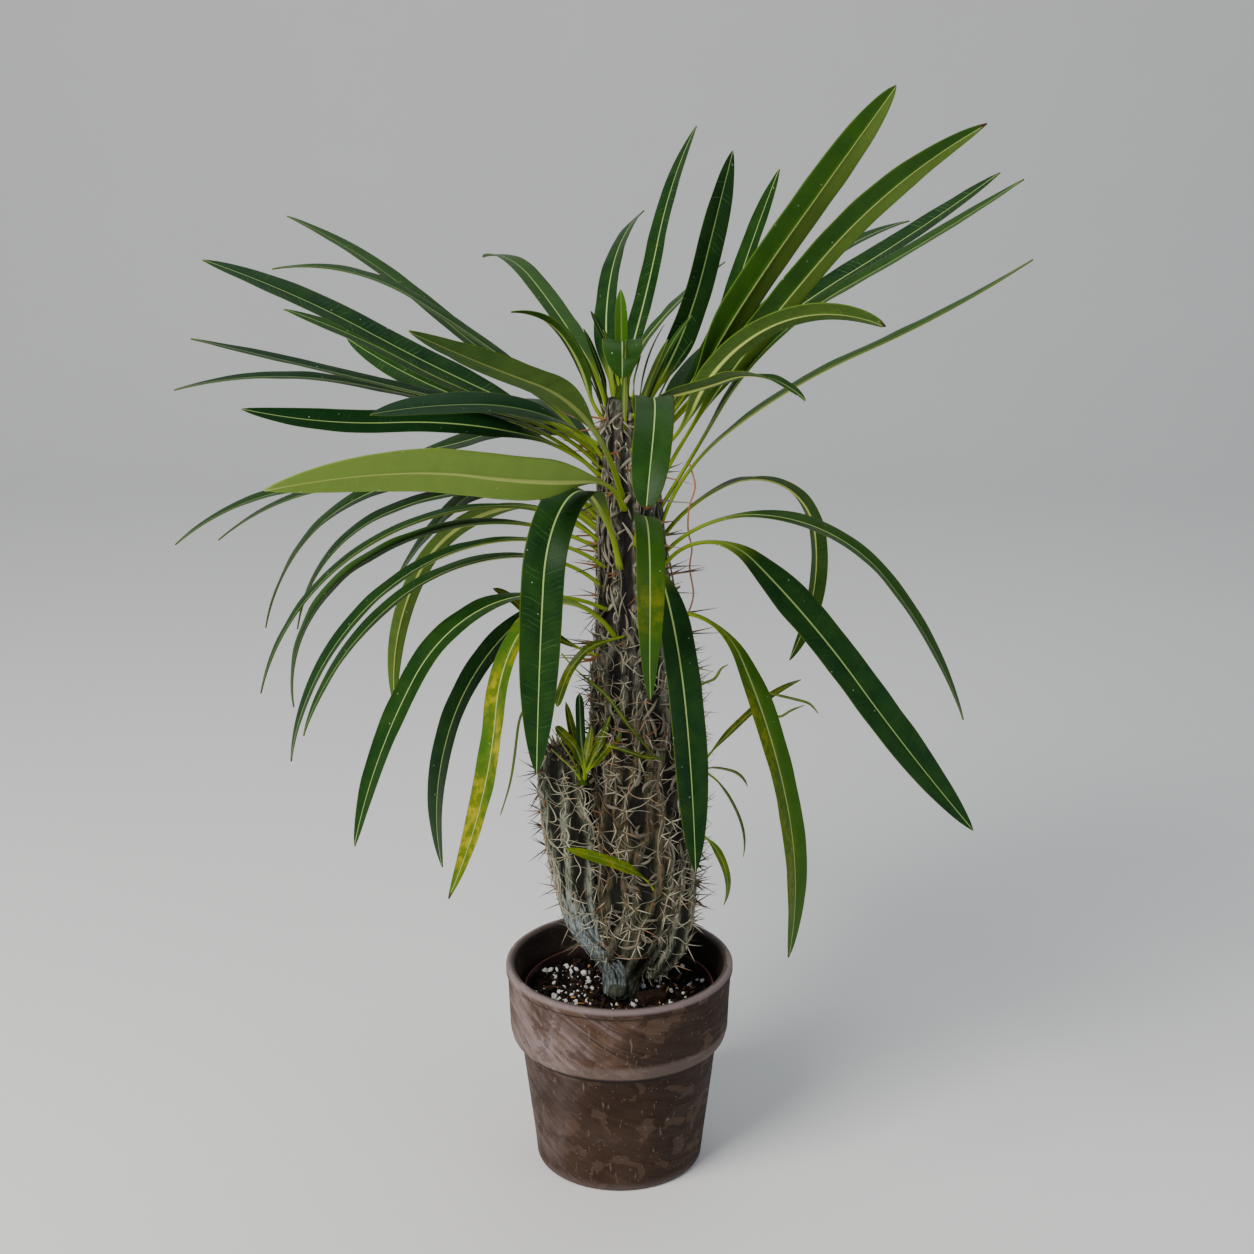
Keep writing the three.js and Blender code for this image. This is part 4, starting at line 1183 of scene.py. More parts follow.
def stem_spines():
    random = np.random.default_rng(81)
    spines = Parts()
    spines_on(TRUNK, TRUNK_BOSSES, random, spines)
    spines_on(LEFT_ARM, LEFT_BOSSES, random, spines)
    spines_on(RIGHT_ARM, RIGHT_BOSSES, random, spines)
    spines.make("stem_spines", SPINE, "spine")


def on_skin(column, heights, angles, lift):
    """Points over a column's skin."""
    x, y, radius = column_at(column, heights)
    reach = radius + lift
    return np.stack([x + reach * np.cos(angles), y + reach * np.sin(angles), heights], -1)


def struts(fibres, random, column, ribs, low, high, pale, step):
    """Bleached dry veins that slant across the hollows from rib to rib."""
    share = np.linspace(0, 1, 9)
    for rib in range(ribs):
        height = low + random.uniform(0, step)
        while height < high - 6:
            rise = random.normal(0, 9)
            bow = random.normal(0, 2.5) * np.sin(share * math.pi)
            bow += random.normal(0, 1.2) * np.sin(share * TAU)
            heights = np.clip(height + share * rise + bow, low, high)
            ends = [float(crest_angle(rib + k, ribs, height + k * rise)) for k in (0, 1)]
            angles = mix(ends[0], ends[1], share)
            lift = 1.4 + random.uniform(-1.6, 1.6) * np.sin(share * math.pi)
            thick = random.uniform(0.22, 0.60) * (0.55 + 0.45 * (2 * share - 1) ** 2)
            tone = np.clip(pale + random.uniform(-0.4, 0.15), 0, 1)
            fibres.thread(on_skin(column, heights, angles, lift), thick, 4, tone)
            height += random.uniform(0.5, 1.5) * step


def cords(fibres, random, column, ribs, low, high, pale, count):
    """Pale cords that run up the ribs' crests, now on one flank and now on the other."""
    share = np.linspace(0, 1, 24)
    for _ in range(count):
        rib = int(random.integers(ribs))
        length = random.uniform(30, 100)
        start = random.uniform(low, max(low + 1, high - length))
        heights = np.clip(start + share * length, low, high)
        drift = random.uniform(-0.10, 0.10)
        drift += 0.07 * np.sin(share * random.uniform(4, 12) + random.uniform(0, TAU))
        angles = crest_angle(rib, ribs, heights) + drift * 12 / ribs
        thick = random.uniform(0.45, 1.05) * np.minimum(1, 6 * np.minimum(share, 1 - share) + 0.15)
        tone = np.clip(pale + random.uniform(-0.25, 0.15), 0, 1)
        fibres.thread(on_skin(column, heights, angles, 1.5), thick, 5, tone)


def curls(fibres, random, column, low, high, count, tones):
    """Dried curling fibres and leaf stalks that lie loosely over the bark."""
    steps = np.linspace(0, 1, 12)
    for _ in range(count):
        height, angle = random.uniform(low, high), random.uniform(0, TAU)
        length = random.uniform(10, 36)
        turn = random.uniform(0, TAU) + random.uniform(-3.4, 3.4) * steps
        turn += 0.5 * np.sin(steps * random.uniform(3, 9))
        along = grown(0, np.cos(turn), length)
        rise = grown(0, np.sin(turn), length)
        heights = np.clip(height + rise, low, high)
        angles = angle + along / column_at(column, heights)[2]
        lift = 1.5 + random.uniform(0.5, 3.2) * np.sin(steps * math.pi) ** 2
        thick = random.uniform(0.18, 0.42) * (1 - 0.75 * np.abs(2 * steps - 1) ** 3)
        red = random.uniform(0.4, 0.9) if random.uniform() < 0.18 else 0
        fibres.thread(on_skin(column, heights, angles, lift), thick, 4, random.uniform(*tones), red)


def ribbons(found, random, count, low, high, lean, tones):
    """Flat dry leaf bases that curl over the bark of the trunk; lean is how far they turn from upright."""
    steps = np.linspace(0, 1, 10)
    sides = 6
    for _ in range(count):
        height, angle = random.uniform(low, high), random.uniform(math.pi, TAU) + random.uniform(-0.3, 0.3)
        length = random.uniform(10, 24)
        turn = math.pi / 2 + random.uniform(-lean, lean)
        turn += random.uniform(-2.6, 2.6) * steps * min(1, lean / 2)
        heights = grown(height, np.sin(turn), length)
        angles = angle + grown(0, np.cos(turn), length) / column_at(TRUNK, heights)[2]
        lift = 0.9 + random.uniform(0.3, 2.6) * np.sin(steps * math.pi)
        line = on_skin(TRUNK, heights, angles, lift)
        width = random.uniform(1.2, 3.2) * np.sin(np.clip(steps * math.pi, 0.25, 2.9)) ** 0.7
        points, faces = tube(line, width / 2, sides)
        out = np.repeat(aim(angles, 0), sides, axis=0)
        depth = ((points - np.repeat(line, sides, axis=0)) * out).sum(1, keepdims=True)
        points = points - 0.75 * depth * out
        found.add(points, faces, spine_look=(random.uniform(*tones), random.uniform(0, 0.07), 0.5))


def hairy_roots(fibres, random):
    """Fine pale roots under the right arm's lower end."""
    share = np.linspace(0, 1, 9)
    for _ in range(60):
        angle, climb = random.uniform(math.pi, 2.15 * math.pi), random.uniform(-1.2, 0.5)
        start = RIGHT_ARM[0, 1:3] + random.uniform(-6, 7, 2)
        curve = random.uniform(-1.6, 1.6)
        direction = aim(angle + curve * share, climb - 1.2 * share)
        length = random.uniform(5, 15)
        line = grown((*start, random.uniform(153, 164)), direction, length)
        fibres.thread(line, random.uniform(0.2, 0.45) * (1 - 0.7 * share), 5, random.uniform(0.75, 1))


def dry_stubs(random):
    """Broken leaf bases on the neck and on the left arm's top."""
    stubs = Parts()
    share = np.linspace(0, 1, 6)
    for column, bosses, chance in ((TRUNK, TRUNK_BOSSES, 0.40), (LEFT_ARM, LEFT_BOSSES, 0.8)):
        for height, angle in bosses.T:
            if height < (400 if column is TRUNK else 296) or random.uniform() > chance:
                continue
            base = on_skin(column, height + SCAR_RISE, angle, -1.0)
            climb = random.uniform(0.2, 1.0) + random.uniform(-0.6, 0.8) * share
            steps = aim(angle + 0.3 * random.normal() * share, climb)
            line = grown(base, steps, random.uniform(4, 11))
            stubs.thread(line, random.uniform(0.9, 1.8) * mix(1, 0.45, share), 7,
                         random.uniform(0.1, 0.5), random.uniform(0, 0.25))
    height, x, y = LEFT_ARM[-1, :3]
    for _ in range(26):
        angle, reach = random.uniform(0, TAU), random.uniform(0, 11)
        level = height - 2 - 0.05 * reach ** 2
        base = (x + reach * math.cos(angle), y + reach * math.sin(angle), level)
        climb = mix(1.4, 0.5, reach / 11) + random.uniform(-0.5, 0.4) * share
        line = grown(base, aim(angle, climb), random.uniform(6, 15))
        stubs.thread(line, random.uniform(0.6, 1.5) * mix(1, 0.3, share), 7,
                     random.uniform(0.05, 0.5), random.uniform(0, 0.3))
    stubs.make("dry_leaf_bases", SPINE, "bark")


def scar_edges(fibres, random):
    """Thin pale rims that peel off round the leaf scars of the neck."""
    for height, angle in TRUNK_BOSSES.T:
        if height < NECK[0] - 20 or random.uniform() < 0.15:
            continue
        turn = random.uniform(0, TAU) + np.linspace(0, random.uniform(2.5, 5.5), 12)
        wide, tall = random.uniform(1.6, 2.8), random.uniform(3, 6)
        heights = height + SCAR_RISE + tall * np.sin(turn)
        angles = angle + wide * np.cos(turn) / column_at(TRUNK, height)[2]
        lift = 0.6 + random.uniform(0, 1.6) * np.linspace(0, 1, 12) ** 2
        thick = random.uniform(0.22, 0.48) * np.sin(np.linspace(0.4, math.pi - 0.3, 12))
        fibres.thread(on_skin(TRUNK, heights, angles, lift), thick, 4, random.uniform(0.5, 0.95))


# Column, ribs, low end, high end, paleness, and the step between struts or the number of cords
STRUTS = [(TRUNK, TRUNK_RIBS, 168, 400, 0.50, 22), (LEFT_ARM, LEFT_RIBS, 185, 318, 0.80, 14),
          (RIGHT_ARM, RIGHT_RIBS, 162, 290, 0.80, 12)]
CORDS = [(LEFT_ARM, LEFT_RIBS, 190, 316, 0.75, 26), (TRUNK, TRUNK_RIBS, 190, 380, 0.25, 40),
         (TRUNK, TRUNK_RIBS, 400, 560, 0.28, 34)]

# Column, low end, high end, count and tones
CURLS = [(TRUNK, 172, 420, 420, (0.05, 0.75)), (RIGHT_ARM, 162, 290, 80, (0.5, 1)),
         (LEFT_ARM, 195, 320, 90, (0.6, 1))]

# Count, low end, high end, lean and tones
RIBBONS = [(150, 185, 400, math.pi, (0.02, 0.28)), (150, 400, 568, 0.7, (0.02, 0.42))]


def stem_fibres():
    random = np.random.default_rng(91)
    fibres = Parts()
    for row in STRUTS:
        struts(fibres, random, *row)
    for row in CORDS:
        cords(fibres, random, *row)
    for row in CURLS:
        curls(fibres, random, *row)
    hairy_roots(fibres, random)
    scar_edges(fibres, random)
    line = smooth_line(TENDRIL, 60)[0]
    fibres.thread(line, np.full(len(line), 0.65), 6, 0.8, red=1)
    fibres.make("stem_fibres", SPINE, "spine")
    dry_stubs(random)
    dry = Parts()
    for row in RIBBONS:
        ribbons(dry, random, *row)
    dry.make("dry_ribbons", SPINE, "bark")


def stem():
    stem_skin()
    stem_spines()
    stem_fibres()


# ------------------------------------------------------------------ leaves

# Where the points lie across a blade, as shares of its half width
ACROSS = np.array([0, 0.05, 0.10, 0.17, 0.30, 0.48, 0.66, 0.82, 0.93, 1.0])

# Leaf looks: tone from 0, dark green, to 1, light yellow-green; painted_lit_half, painted light and shade, by
# how much lighter one half of the folded blade is than the other; fold, how steeply the two sides rise; fade,
# by how much its root is lighter than its tip; painted_through_light, painted light that comes through the
# blade, how much of the upper side's green shows through half of its underside; blunt, from -0.3 for a long
# taper to 1 for a broad end;
# tip, veins and rib from 0 to 1; yellow patches as (share along, spread, side from -1 to 1 or 0 for both,
# strength); full, the share along where the blade reaches its width.
USUAL_LOOK = {"tone": 0.10, "painted_lit_half": 0.0, "fold": 0.15, "fade": 0.0, "painted_through_light": 0.0, "blunt": 0.0, "tip": 0.1,
              "veins": 0.15, "rib": 1.0, "yellow": (), "full": BLADE_FULL}
LOOKS = {
    # leaf_right_01 and leaf_right_02 carry painted light: one half lighter than the other, and light coming
    # through the blade.
    "leaf_right_01": {"tone": 0.57, "painted_lit_half": 0.19, "fold": 0.14, "painted_through_light": 1, "blunt": 0.15},
    "leaf_right_02": {"tone": 0.50, "painted_lit_half": 0.16, "fold": 0.14, "painted_through_light": 1, "tip": 1},
    "leaf_right_04": {"veins": 0.7},
    "leaf_right_05": {"veins": 0.7},
    "leaf_right_06": {"tone": 0.20},
    "leaf_right_08": {"tone": 0.20, "tip": 1, "blunt": 0.6},
    "leaf_right_10": {"tone": 0.35},
    "leaf_left_01": {"tone": 0.24, "rib": 0.7, "veins": 0.4},
    "leaf_left_02": {"tone": 0.05, "rib": 0.6},
    "leaf_left_03": {"tone": 0.24, "veins": 0.4, "rib": 0.6},
    "leaf_left_04": {"tone": 0.12, "rib": 0.7},
    "leaf_left_05": {"veins": 0.6, "rib": 0.7},
    "leaf_left_06": {"tone": 0.16, "rib": 0.7},
    "leaf_left_07": {"tone": 0.16, "veins": 0.6, "rib": 0.7},
    # The low tones of leaf_left_08 to leaf_left_11 are painted shade.
    "leaf_left_08": {"tone": -0.05, "rib": 0.8},
    "leaf_left_09": {"tone": -0.05, "rib": 0.8},
    "leaf_left_10": {"tone": -0.10, "rib": 0.8},
    "leaf_left_11": {"tone": -0.20, "rib": 0.35},
    "leaf_left_13": {"tone": 0.30, "fade": 0.5, "rib": 0.5},
    "leaf_left_14": {"tone": 0.86, "fade": -0.15, "painted_lit_half": 0.05},
    "leaf_low_left_06": {"tone": 0.30},
    "leaf_low_left_09": {"tone": 0.30},
    "leaf_low_left_10": {"tone": 0.35},
    "leaf_low_left_13": {"tone": 0.55, "tip": 1, "yellow": (
        (0.36, 0.04, -1, 0.4), (0.47, 0.05, 1, 0.45), (0.56, 0.05, -1, 0.8), (0.66, 0.06, 1, 0.9),
        (0.78, 0.05, -1, 0.8), (0.88, 0.07, 0, 0.8))},
    "leaf_front_01": {"fold": 0.20, "veins": 0.4},
    "leaf_front_02": {"tone": 0.20, "tip": 1, "blunt": 0.45},
    "leaf_front_03": {"tone": 0.42, "tip": 1, "blunt": -0.2, "yellow": ((0.68, 0.07, 0, 0.30),)},
    "leaf_low_right_01": {"tone": 0.02},
    "leaf_low_right_02": {"tone": 0.30},
    "leaf_low_right_03": {"rib": 0.75},
    "leaf_low_right_04": {"tone": 0.55, "tip": 1, "yellow": ((0.42, 0.14, -1, 0.45), (0.75, 0.15, -1, 0.3))},
    "leaf_back_01": {"veins": 0.6},
    "trunk_leaf_front": {"tone": 0.95, "rib": 0.2, "yellow": ((0.6, 0.4, 0, 0.7),)},
    "trunk_leaf_right": {"tone": 0.75},
}
YOUNG_LOOK = {**USUAL_LOOK, "tone": 0.70, "tip": 0.0, "veins": 0.05, "rib": 0.35,
              "yellow": ((0.5, 0.9, 0, 0.3),)}

# Thin young leaves and dry tendrils on the stem: corners of the line, width, petiole width and tone
THIN_LEAVES = [
    ([(5, -27, 422), (-13, -40, 421), (-23, -46, 418), (-35, -50, 403), (-42, -50, 383), (-43, -49, 377)],
     7, 1.8, 0.22),
    ([(-15, -22, 406), (-41, -22, 417), (-61, -20, 433), (-74, -18, 446), (-81, -18, 451), (-88, -18, 454)],
     7, 1.8, 0.22),
    ([(-40, -30, 410), (-31, -38, 401), (-8, -45, 384), (6, -48, 363), (27, -42, 336)], 3.2, 1.2, 0.25),
    ([(-9, -36, 344), (6, -44, 342), (18, -46, 338), (32, -44, 337)], 4, 1.3, 0.15),
    ([(99, -4, 374), (108, -6, 372), (123, -8, 369), (137, -10, 366), (143, -10, 358)], 2.6, 1.2, 0.6),
    ([(108, -6, 372), (111, -8, 356), (116, -8, 354), (123, -9, 360), (133, -9, 364)], 2.2, 1.0, 0.6),
    ([(47, -8, 372), (52, -8, 374), (60, -10, 381), (69, -10, 384), (73, -10, 393), (78, -10, 395)],
     2.4, 1.2, 0.7),
    ([(-48, -4, 317), (-57, -10, 350), (-65, -14, 370), (-71, -16, 362), (-74, -18, 334), (-78, -18, 307),
      (-86, -18, 283)], 2.0, 1.3, 0.95),
    ([(-24, -24, 318), (-27, -27, 345), (-28, -26, 379)], 6.5, 2.2, 0.0),
    ([(-24, -24, 318), (-31, -29, 340), (-45, -31, 356)], 8.5, 2.4, 0.30),
    ([(-24, -24, 318), (-15, -28, 338), (-6, -30, 364)], 5, 2.2, 0.35),
    ([(-24, -24, 318), (-12, -28, 334), (2, -32, 352)], 9, 2.4, 0.40),
]

# A dry orange tendril beside the neck
TENDRIL = [(49, -4, 540), (55, -4, 522), (49, -4, 512), (48, -4, 489), (53, -4, 480), (49, -4, 467),
           (54, -4, 444), (48, -4, 428)]

# Young leaves round the growing point
CROWN_LEAVES = 15
CROWN_HEIGHTS = (556, 588)
CROWN_LENGTHS = (92, 34)

YELLOWING = ("leaf_low_left_13", "trunk_leaf_front")
SMALL_ROWS = 33                    # points along a thin leaf


def blade_share(travel, blunt, full):
    """A blade's width at shares of its length, as a share of its greatest width."""
    tip = np.clip((travel - 0.62) / 0.38, 0, 1)
    taper = (1 - tip ** (2.6 + 6 * blunt)) ** (0.75 - 0.35 * blunt)
    return smoothstep(travel, full - BLADE_GROWTH, full) * taper


def leaf_frame(leaf, travel):
    """Directions along, across and up from the blade at shares of the leaf's length."""
    facing, turn, _, _, climbs, roll = leaf
    heading = np.radians(facing + turn * travel)
    climb = np.radians(np.interp(travel, CLIMB_STATIONS, climbs))
    along = aim(heading, climb)
    level = np.stack([-np.sin(heading), np.cos(heading), 0 * heading], -1)
    tilt = (np.radians(roll) * smoothstep(travel, 0.05, 0.4))[:, None]
    side = level * np.cos(tilt) - np.cross(along, level) * np.sin(tilt)
    return along, side, np.cross(along, side)


def leaf_line(leaf, root):
    """Shares of a leaf's length and the points of its line at them."""
    steps = np.linspace(0, 1, LEAF_STEPS + 1)
    middles = (steps[1:] + steps[:-1]) / 2
    strides = leaf_frame(leaf, middles)[0] * leaf[2] / LEAF_STEPS
    return steps, root + np.concatenate([[[0, 0, 0]], np.cumsum(strides, axis=0)])


def blade_mesh(travel, line, side, upper, length, width, petiole, look, seed, flare=1.0):
    """Points, faces and attributes of a leaf along a line, with directions across and up at its points."""
    share = blade_share(travel, look["blunt"], look["full"])
    stalk = petiole * (1 + (flare - 1) * smoothstep(-travel, -0.05, 0))
    least = np.where(travel < 0.5, stalk, LEAF_TIP_WIDTH)
    half = np.maximum(width * share, np.minimum(least, petiole * flare)) / 2
    half[-1] = LEAF_TIP_WIDTH / 4
    blade = smoothstep(travel, 0.05, 0.3)[:, None]
    lift = (half * look["fold"] * share)[:, None]
    a = ACROSS[None, :]
    millimetres = half[:, None] * a
    slim = petiole / PETIOLE_WIDTH
    thick = min(1, width / 12)

    # The upper side rises from a groove over the midrib and rounds off towards its edges.
    rib_size = mix(1, 0.3, travel)[:, None] * min(1, width / 18)
    groove = -0.30 * np.exp(-(millimetres / (1.1 * rib_size)) ** 2) * rib_size
    top = lift * (1.6 * a - 0.6 * a ** 2) + 0.25 * thick + groove
    rib = 0.95 * np.exp(-(millimetres / (1.5 * rib_size)) ** 2) * rib_size
    bottom = top - (BLADE_EDGE * mix(1, 0.6, a ** 3) + 0.12 * (1 - a)) * thick - rib
    round_off = np.sqrt(np.clip(1 - a ** 2, 0, 1))
    stalk_top = 0.35 * PETIOLE_THICKNESS * slim * round_off
    stalk_bottom = -0.55 * PETIOLE_THICKNESS * slim * round_off
    top = mix(stalk_top, top, blade)
    bottom = mix(stalk_bottom, bottom, blade)

    # A little waviness along the two edges
    wave = {}
    for sign, offset in ((1, 0), (-1, 50)):
        place = np.stack([travel * length, 0 * travel + seed * 7.3, 0 * travel + offset], -1)
        wave[sign] = noise(place, 17, seed)

    # Round the blade: the top from one edge to the other, then the underside back without the edges
    last = len(ACROSS) - 1
    order = [(1, k, top, 0) for k in range(last, -1, -1)]
    order += [(-1, k, top, 0) for k in range(1, last + 1)]
    order += [(-1, k, bottom, 1) for k in range(last - 1, -1, -1)]
    order += [(1, k, bottom, 1) for k in range(1, last)]
    ring, places, unders = [], [], []
    for sign, k, surface, under in order:
        up = surface[:, k] + 0.55 * thick * wave[sign] * ACROSS[k] ** 2 * blade[:, 0] * share
        out = sign * half * ACROSS[k]
        ring.append(line + out[:, None] * side + up[:, None] * upper)
        places.append(np.stack([travel * length, out, 0 * out + sign * ACROSS[k]], -1))
        unders.append(np.full(len(travel), 0.5 if k == last else under))
    points = np.stack(ring, 1).reshape(-1, 3)
    place = np.stack(places, 1).reshape(-1, 3)
    under = np.stack(unders, 1).ravel()

    shares = np.repeat(travel, len(order))
    yellow = np.zeros(len(points))
    for centre, spread, sign, strength in look["yellow"]:
        on_side = 1 if sign == 0 else smoothstep(sign * place[:, 2], -0.45, 0.35)
        yellow += strength * on_side * np.exp(-((shares - centre) / spread) ** 2)
    # Painted light: light that comes through the blade shows half of the underside in the upper side's green.
    under = under * (1 - look["painted_through_light"] * (place[:, 2] < 0))
    # Painted light and shade: one half of a folded blade is lighter than the other.
    tone = look["tone"] + look["painted_lit_half"] * np.clip(8 * place[:, 2], -1, 1) + look["fade"] * (0.5 - shares)
    more = np.tile([look["tip"], look["veins"], look["rib"]], (len(points), 1))
    look = np.stack([under, tone, np.clip(yellow, 0, 1), shares], -1)
    attributes = {"leaf_place": place, "leaf_look": look, "leaf_more": more}
    return points, tube_faces(len(travel), len(order)), attributes


def leaf_mesh(leaf, root, petiole, root_depth, look, seed, flare=1.0):
    """Points, faces and attributes of a leaf given by its row of numbers."""
    travel, line = leaf_line(leaf, np.asarray(root, float))
    travel = np.concatenate([[0], travel])
    line = np.concatenate([[line[0] - root_depth * aim(np.radians(leaf[0]), 0)], line])
    _, side, upper = leaf_frame(leaf, travel)
    return blade_mesh(travel, line, side, upper, leaf[2], leaf[3], petiole, look, seed, flare)


def smooth_line(corners, count):
    """Evenly spaced points on a smooth line that follows the corners."""
    corners = np.array(corners, float)
    reach = np.concatenate([[0], np.cumsum(np.linalg.norm(np.diff(corners, axis=0), axis=1))])
    even = np.linspace(0, reach[-1], count)
    line = np.stack([np.interp(even, reach, corners[:, k]) for k in range(3)], -1)
    for _ in range(count // 4):
        line[1:-1] = (line[:-2] + 2 * line[1:-1] + line[2:]) / 4
    return line, reach[-1]


def thin_leaf(corners, width, petiole, tone, seed):
    """A thin leaf along a line of corners; its upper side turns to the front and up."""
    line, length = smooth_line(corners, SMALL_ROWS)
    along = unit(np.gradient(line, axis=0))
    side = unit(np.cross(np.array([0, -0.55, 0.83]), along))
    upper = np.cross(along, side)
    look = {**YOUNG_LOOK, "tone": tone, "blunt": 0.5 if width > 5 else 0}
    if tone < 0.1:
        look["yellow"] = ()
    return blade_mesh(np.linspace(0, 1, SMALL_ROWS), line, side, upper, length, width, petiole, look, seed)


def thin_leaves():
    found = Parts()
    for k, (corners, width, petiole, tone) in enumerate(THIN_LEAVES):
        points, faces, attributes = thin_leaf(corners, width, petiole, tone, 140 + k)
        found.add(points, faces, **attributes)
    found.make("thin_leaves", LEAF_MATERIALS["young_leaf"], "young_leaf")


def crown_leaves():
    """Young leaves and petioles that stand close round the growing point."""
    random = np.random.default_rng(95)
    found = Parts()
    for k in range(CROWN_LEAVES):
        share = k / (CROWN_LEAVES - 1)
        height = mix(*CROWN_HEIGHTS, share)
        facing = math.degrees(k * GOLDEN_ANGLE) + random.uniform(-15, 15)
        climb = mix(62, 84, share) + random.uniform(-6, 6)
        length = mix(*CROWN_LENGTHS, share) * random.uniform(0.75, 1.15)
        if share > 0.45 and abs(facing % 360 - 270) < 60:
            continue
        width = random.uniform(4, 7)
        climbs = (climb, climb + 4, climb - 6, climb - random.uniform(0, 30))
        leaf = (facing, 0, length, width, climbs, random.uniform(-20, 20))
        x, y, radius = column_at(TRUNK, min(height, 583))
        root = np.array([x, y, height]) + 0.7 * radius * aim(np.radians(facing), 0)
        look = {**YOUNG_LOOK, "tone": random.uniform(0.0, 0.55), "yellow": ()}
        points, faces, attributes = leaf_mesh(leaf, root, 2.6, 2, look, 160 + k)
        found.add(points, faces, **attributes)
    found.make("crown_leaves", LEAF_MATERIALS["young_leaf"], "young_leaf")


def leaf_piece(name, mesh, slot):
    """A piece that stands in for the leaf of this name."""
    slot = "yellowing_leaf" if name in YELLOWING else slot
    points, faces, attributes = mesh
    make_piece(name + "_look", points, faces, LEAF_MATERIALS[slot], slot, attributes, [name])


def stem_leaf(row, seed):
    """A leaf of the crown or the stem; its tone differs a little from its neighbours'."""
    name, height, *leaf = row
    root = on_skin(TRUNK, height, np.radians(leaf[0]), -LEAF_ROOT_DEPTH)
    look = {**USUAL_LOOK, **LOOKS.get(name, {})}
    look["tone"] += 0.04 * math.sin(seed * 2.4)
    look["full"] = LONG_STALKED.get(name, BLADE_FULL)
    leaf_piece(name, leaf_mesh(leaf, root, PETIOLE_WIDTH, 3, look, seed, flare=1.35), "leaf")


def rosette(name, seed):
    """A small bud with its young leaves."""
    (x, y, z), radius, height, leaves = ROSETTES[name]
    bud = Parts()
    steps = np.linspace(0, 1, 9)
    line = np.stack([0 * steps + x, 0 * steps + y, z + height * steps], -1)
    points, faces = tube(line, radius * mix(0.8, 0.35, steps), sides=24)
    place = np.stack([points[:, 2] - z, 0 * points[:, 0] + 4, 0 * points[:, 0] + 0.4], -1)
    bud.add(points, faces, leaf_place=place, leaf_look=np.tile([0, 0.2, 0.1, 0.35], (len(points), 1)),
            leaf_more=(0, 0, 0))
    for k, leaf in enumerate(leaves):
        root = np.array([x, y, z + height * 0.45]) + 0.4 * radius * aim(np.radians(leaf[0]), 0)
        look = {**YOUNG_LOOK, "tone": 0.32}
        if name == "crown_bud":
            look = {**YOUNG_LOOK, "tone": 0.85 if k == 0 else 0.12, "yellow": ()}
        if leaf[3] > 12:
            look = {**USUAL_LOOK, "tone": 0.22, "rib": 0.8}
        points, faces, attributes = leaf_mesh(leaf, root, YOUNG_PETIOLE_WIDTH, 1, look, seed + k)
        bud.add(points, faces, **attributes)
    bud.make(name + "_look", LEAF_MATERIALS["young_leaf"], "young_leaf", [name])


def single_leaf(name, seed):
    root, leaf = SINGLE_LEAVES[name]
    look = {**YOUNG_LOOK, **LOOKS[name]}
    leaf_piece(name, leaf_mesh(leaf, root, YOUNG_PETIOLE_WIDTH, 4, look, seed), "young_leaf")


def leaves():
    for k, row in enumerate(LEAVES):
        stem_leaf(row, k + 1)
    for k, name in enumerate(ROSETTES):
        rosette(name, 60 + 10 * k)
    for k, name in enumerate(SINGLE_LEAVES):
        single_leaf(name, 100 + k)
    crown_leaves()
    thin_leaves()


# ------------------------------------------------------------------ stage, light and camera


FLOOR_COLOR = (0.84, 0.83, 0.81)


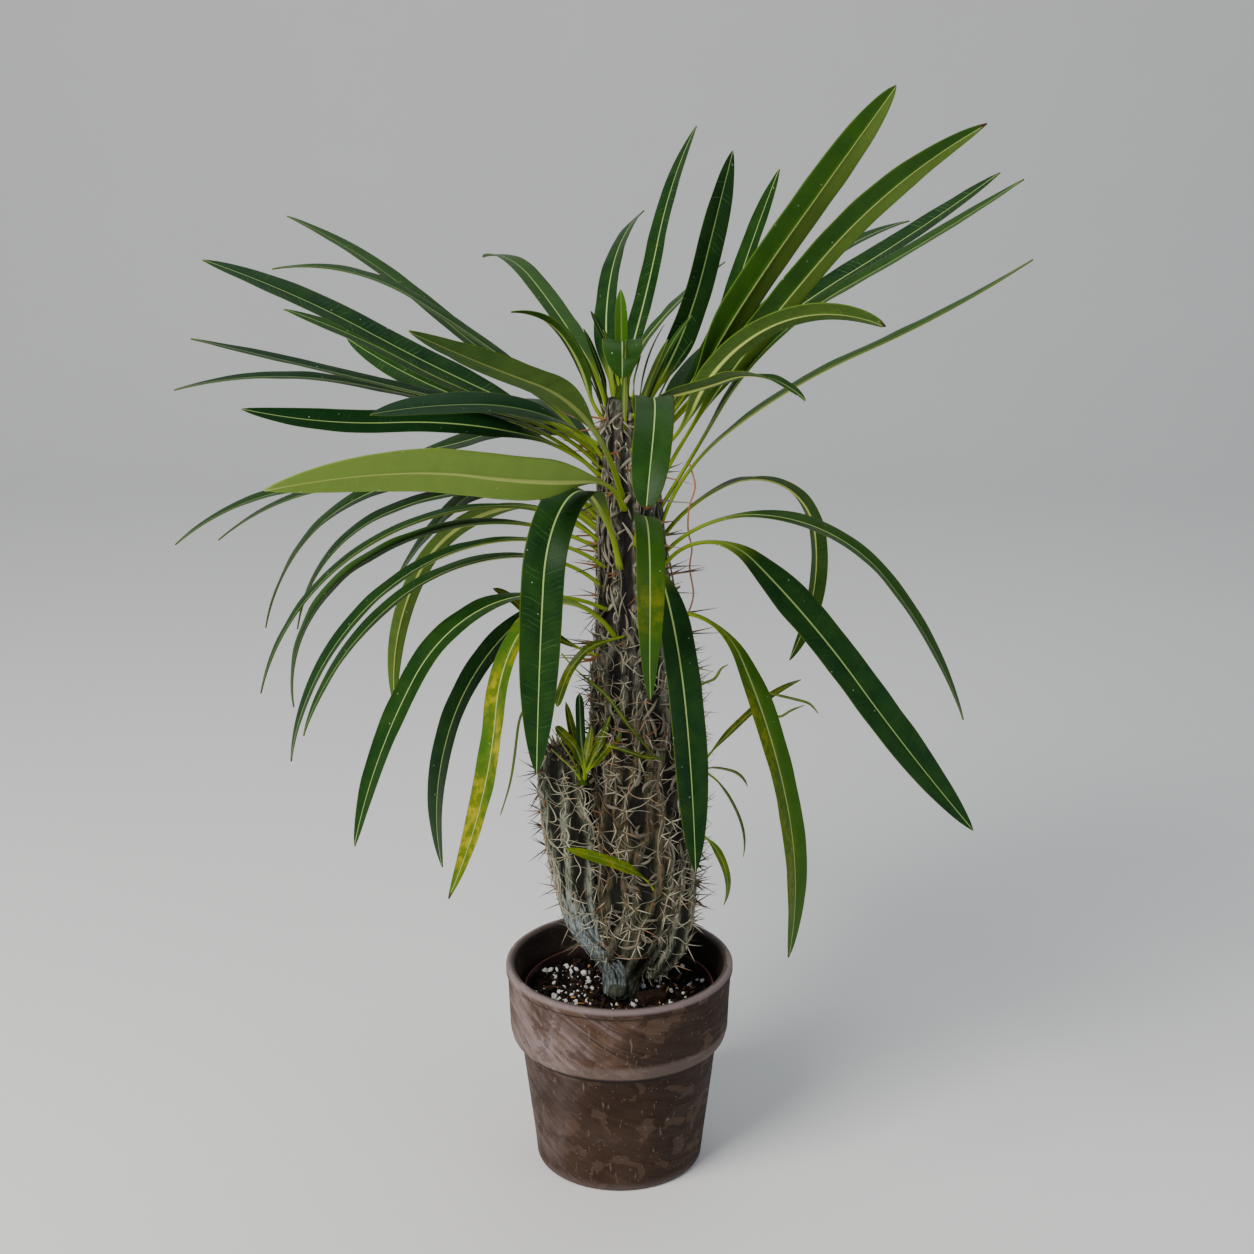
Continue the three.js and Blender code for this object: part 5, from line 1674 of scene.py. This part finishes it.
def stage():
    """A pale floor that curves up into a backdrop, in metres."""
    shade = Shade("floor")
    shade.color = shade.blend(shade.grain(300), FLOOR_COLOR, tuple(1.04 * part for part in FLOOR_COLOR))
    start, bend = 2.2, 1.2
    turn = np.linspace(0.1, math.pi / 2, 14)
    depth = [np.linspace(-4, start, 12), start + bend * np.sin(turn), np.full(6, start + bend)]
    height = [np.zeros(12), bend - bend * np.cos(turn), np.linspace(1.4, 4, 6)]
    outline = zip(np.concatenate(depth), np.concatenate(height))
    rows = [[(x, y, z) for x in np.linspace(-5, 5, 9)] for y, z in outline]
    mesh = bpy.data.meshes.new("floor")
    mesh.from_pydata(np.array(rows).reshape(-1, 3).tolist(), [], grid_faces(len(rows), 9, closed=False))
    mesh.polygons.foreach_set("use_smooth", [True] * len(mesh.polygons))
    mesh.materials.append(shade.surface(0.9))
    floor = bpy.data.objects.new("floor", mesh)
    bpy.context.scene.collection.objects.link(floor)


def soft_light(name, place, target, size, watts, color):
    """A square lamp that faces a target."""
    lamp = bpy.data.lights.new(name, "AREA")
    lamp.shape = "SQUARE"
    lamp.size = size
    lamp.energy = watts
    lamp.color = color
    light = bpy.data.objects.new(name, lamp)
    light.location = place
    light.rotation_euler = (Vector(target) - Vector(place)).to_track_quat("-Z", "Y").to_euler()
    bpy.context.scene.collection.objects.link(light)


def lights():
    """A window's soft light from the left and front, and weak fill from the right and from above."""
    world = bpy.data.worlds.new("studio")
    world.use_nodes = True
    sky = world.node_tree.nodes["Background"].inputs
    sky["Color"].default_value = (0.80, 0.88, 1.0, 1)
    sky["Strength"].default_value = 0.30
    bpy.context.scene.world = world
    soft_light("key", (-1.5, -1.5, 2.1), (0, 0, 0.4), 1.4, 92, (1.0, 0.97, 0.93))
    soft_light("fill", (1.9, -1.2, 1.2), (0, 0, 0.4), 1.6, 10, (0.90, 0.95, 1.0))
    soft_light("top", (0.2, 0.7, 2.3), (0, 0, 0.5), 1.2, 8, (0.92, 0.96, 1.0))


CAMERA_PLACE = (0, -1.4, 0.85)
CAMERA_PITCH = 17.07               # degrees down
CAMERA_YAW = 0.24                  # degrees towards +X
CAMERA_LENS = 59.0


def camera():
    data = bpy.data.cameras.new("camera")
    data.lens = CAMERA_LENS
    data.sensor_width = 36
    data.sensor_fit = "HORIZONTAL"
    data.clip_end = 30
    eye = bpy.data.objects.new("camera", data)
    eye.location = CAMERA_PLACE
    eye.rotation_euler = (math.radians(90 - CAMERA_PITCH), 0, -math.radians(CAMERA_YAW))
    bpy.context.scene.collection.objects.link(eye)
    bpy.context.scene.camera = eye


camera()
lights()
stage()
clay_pot()
nursery_pot()
soil()
stem()
leaves()
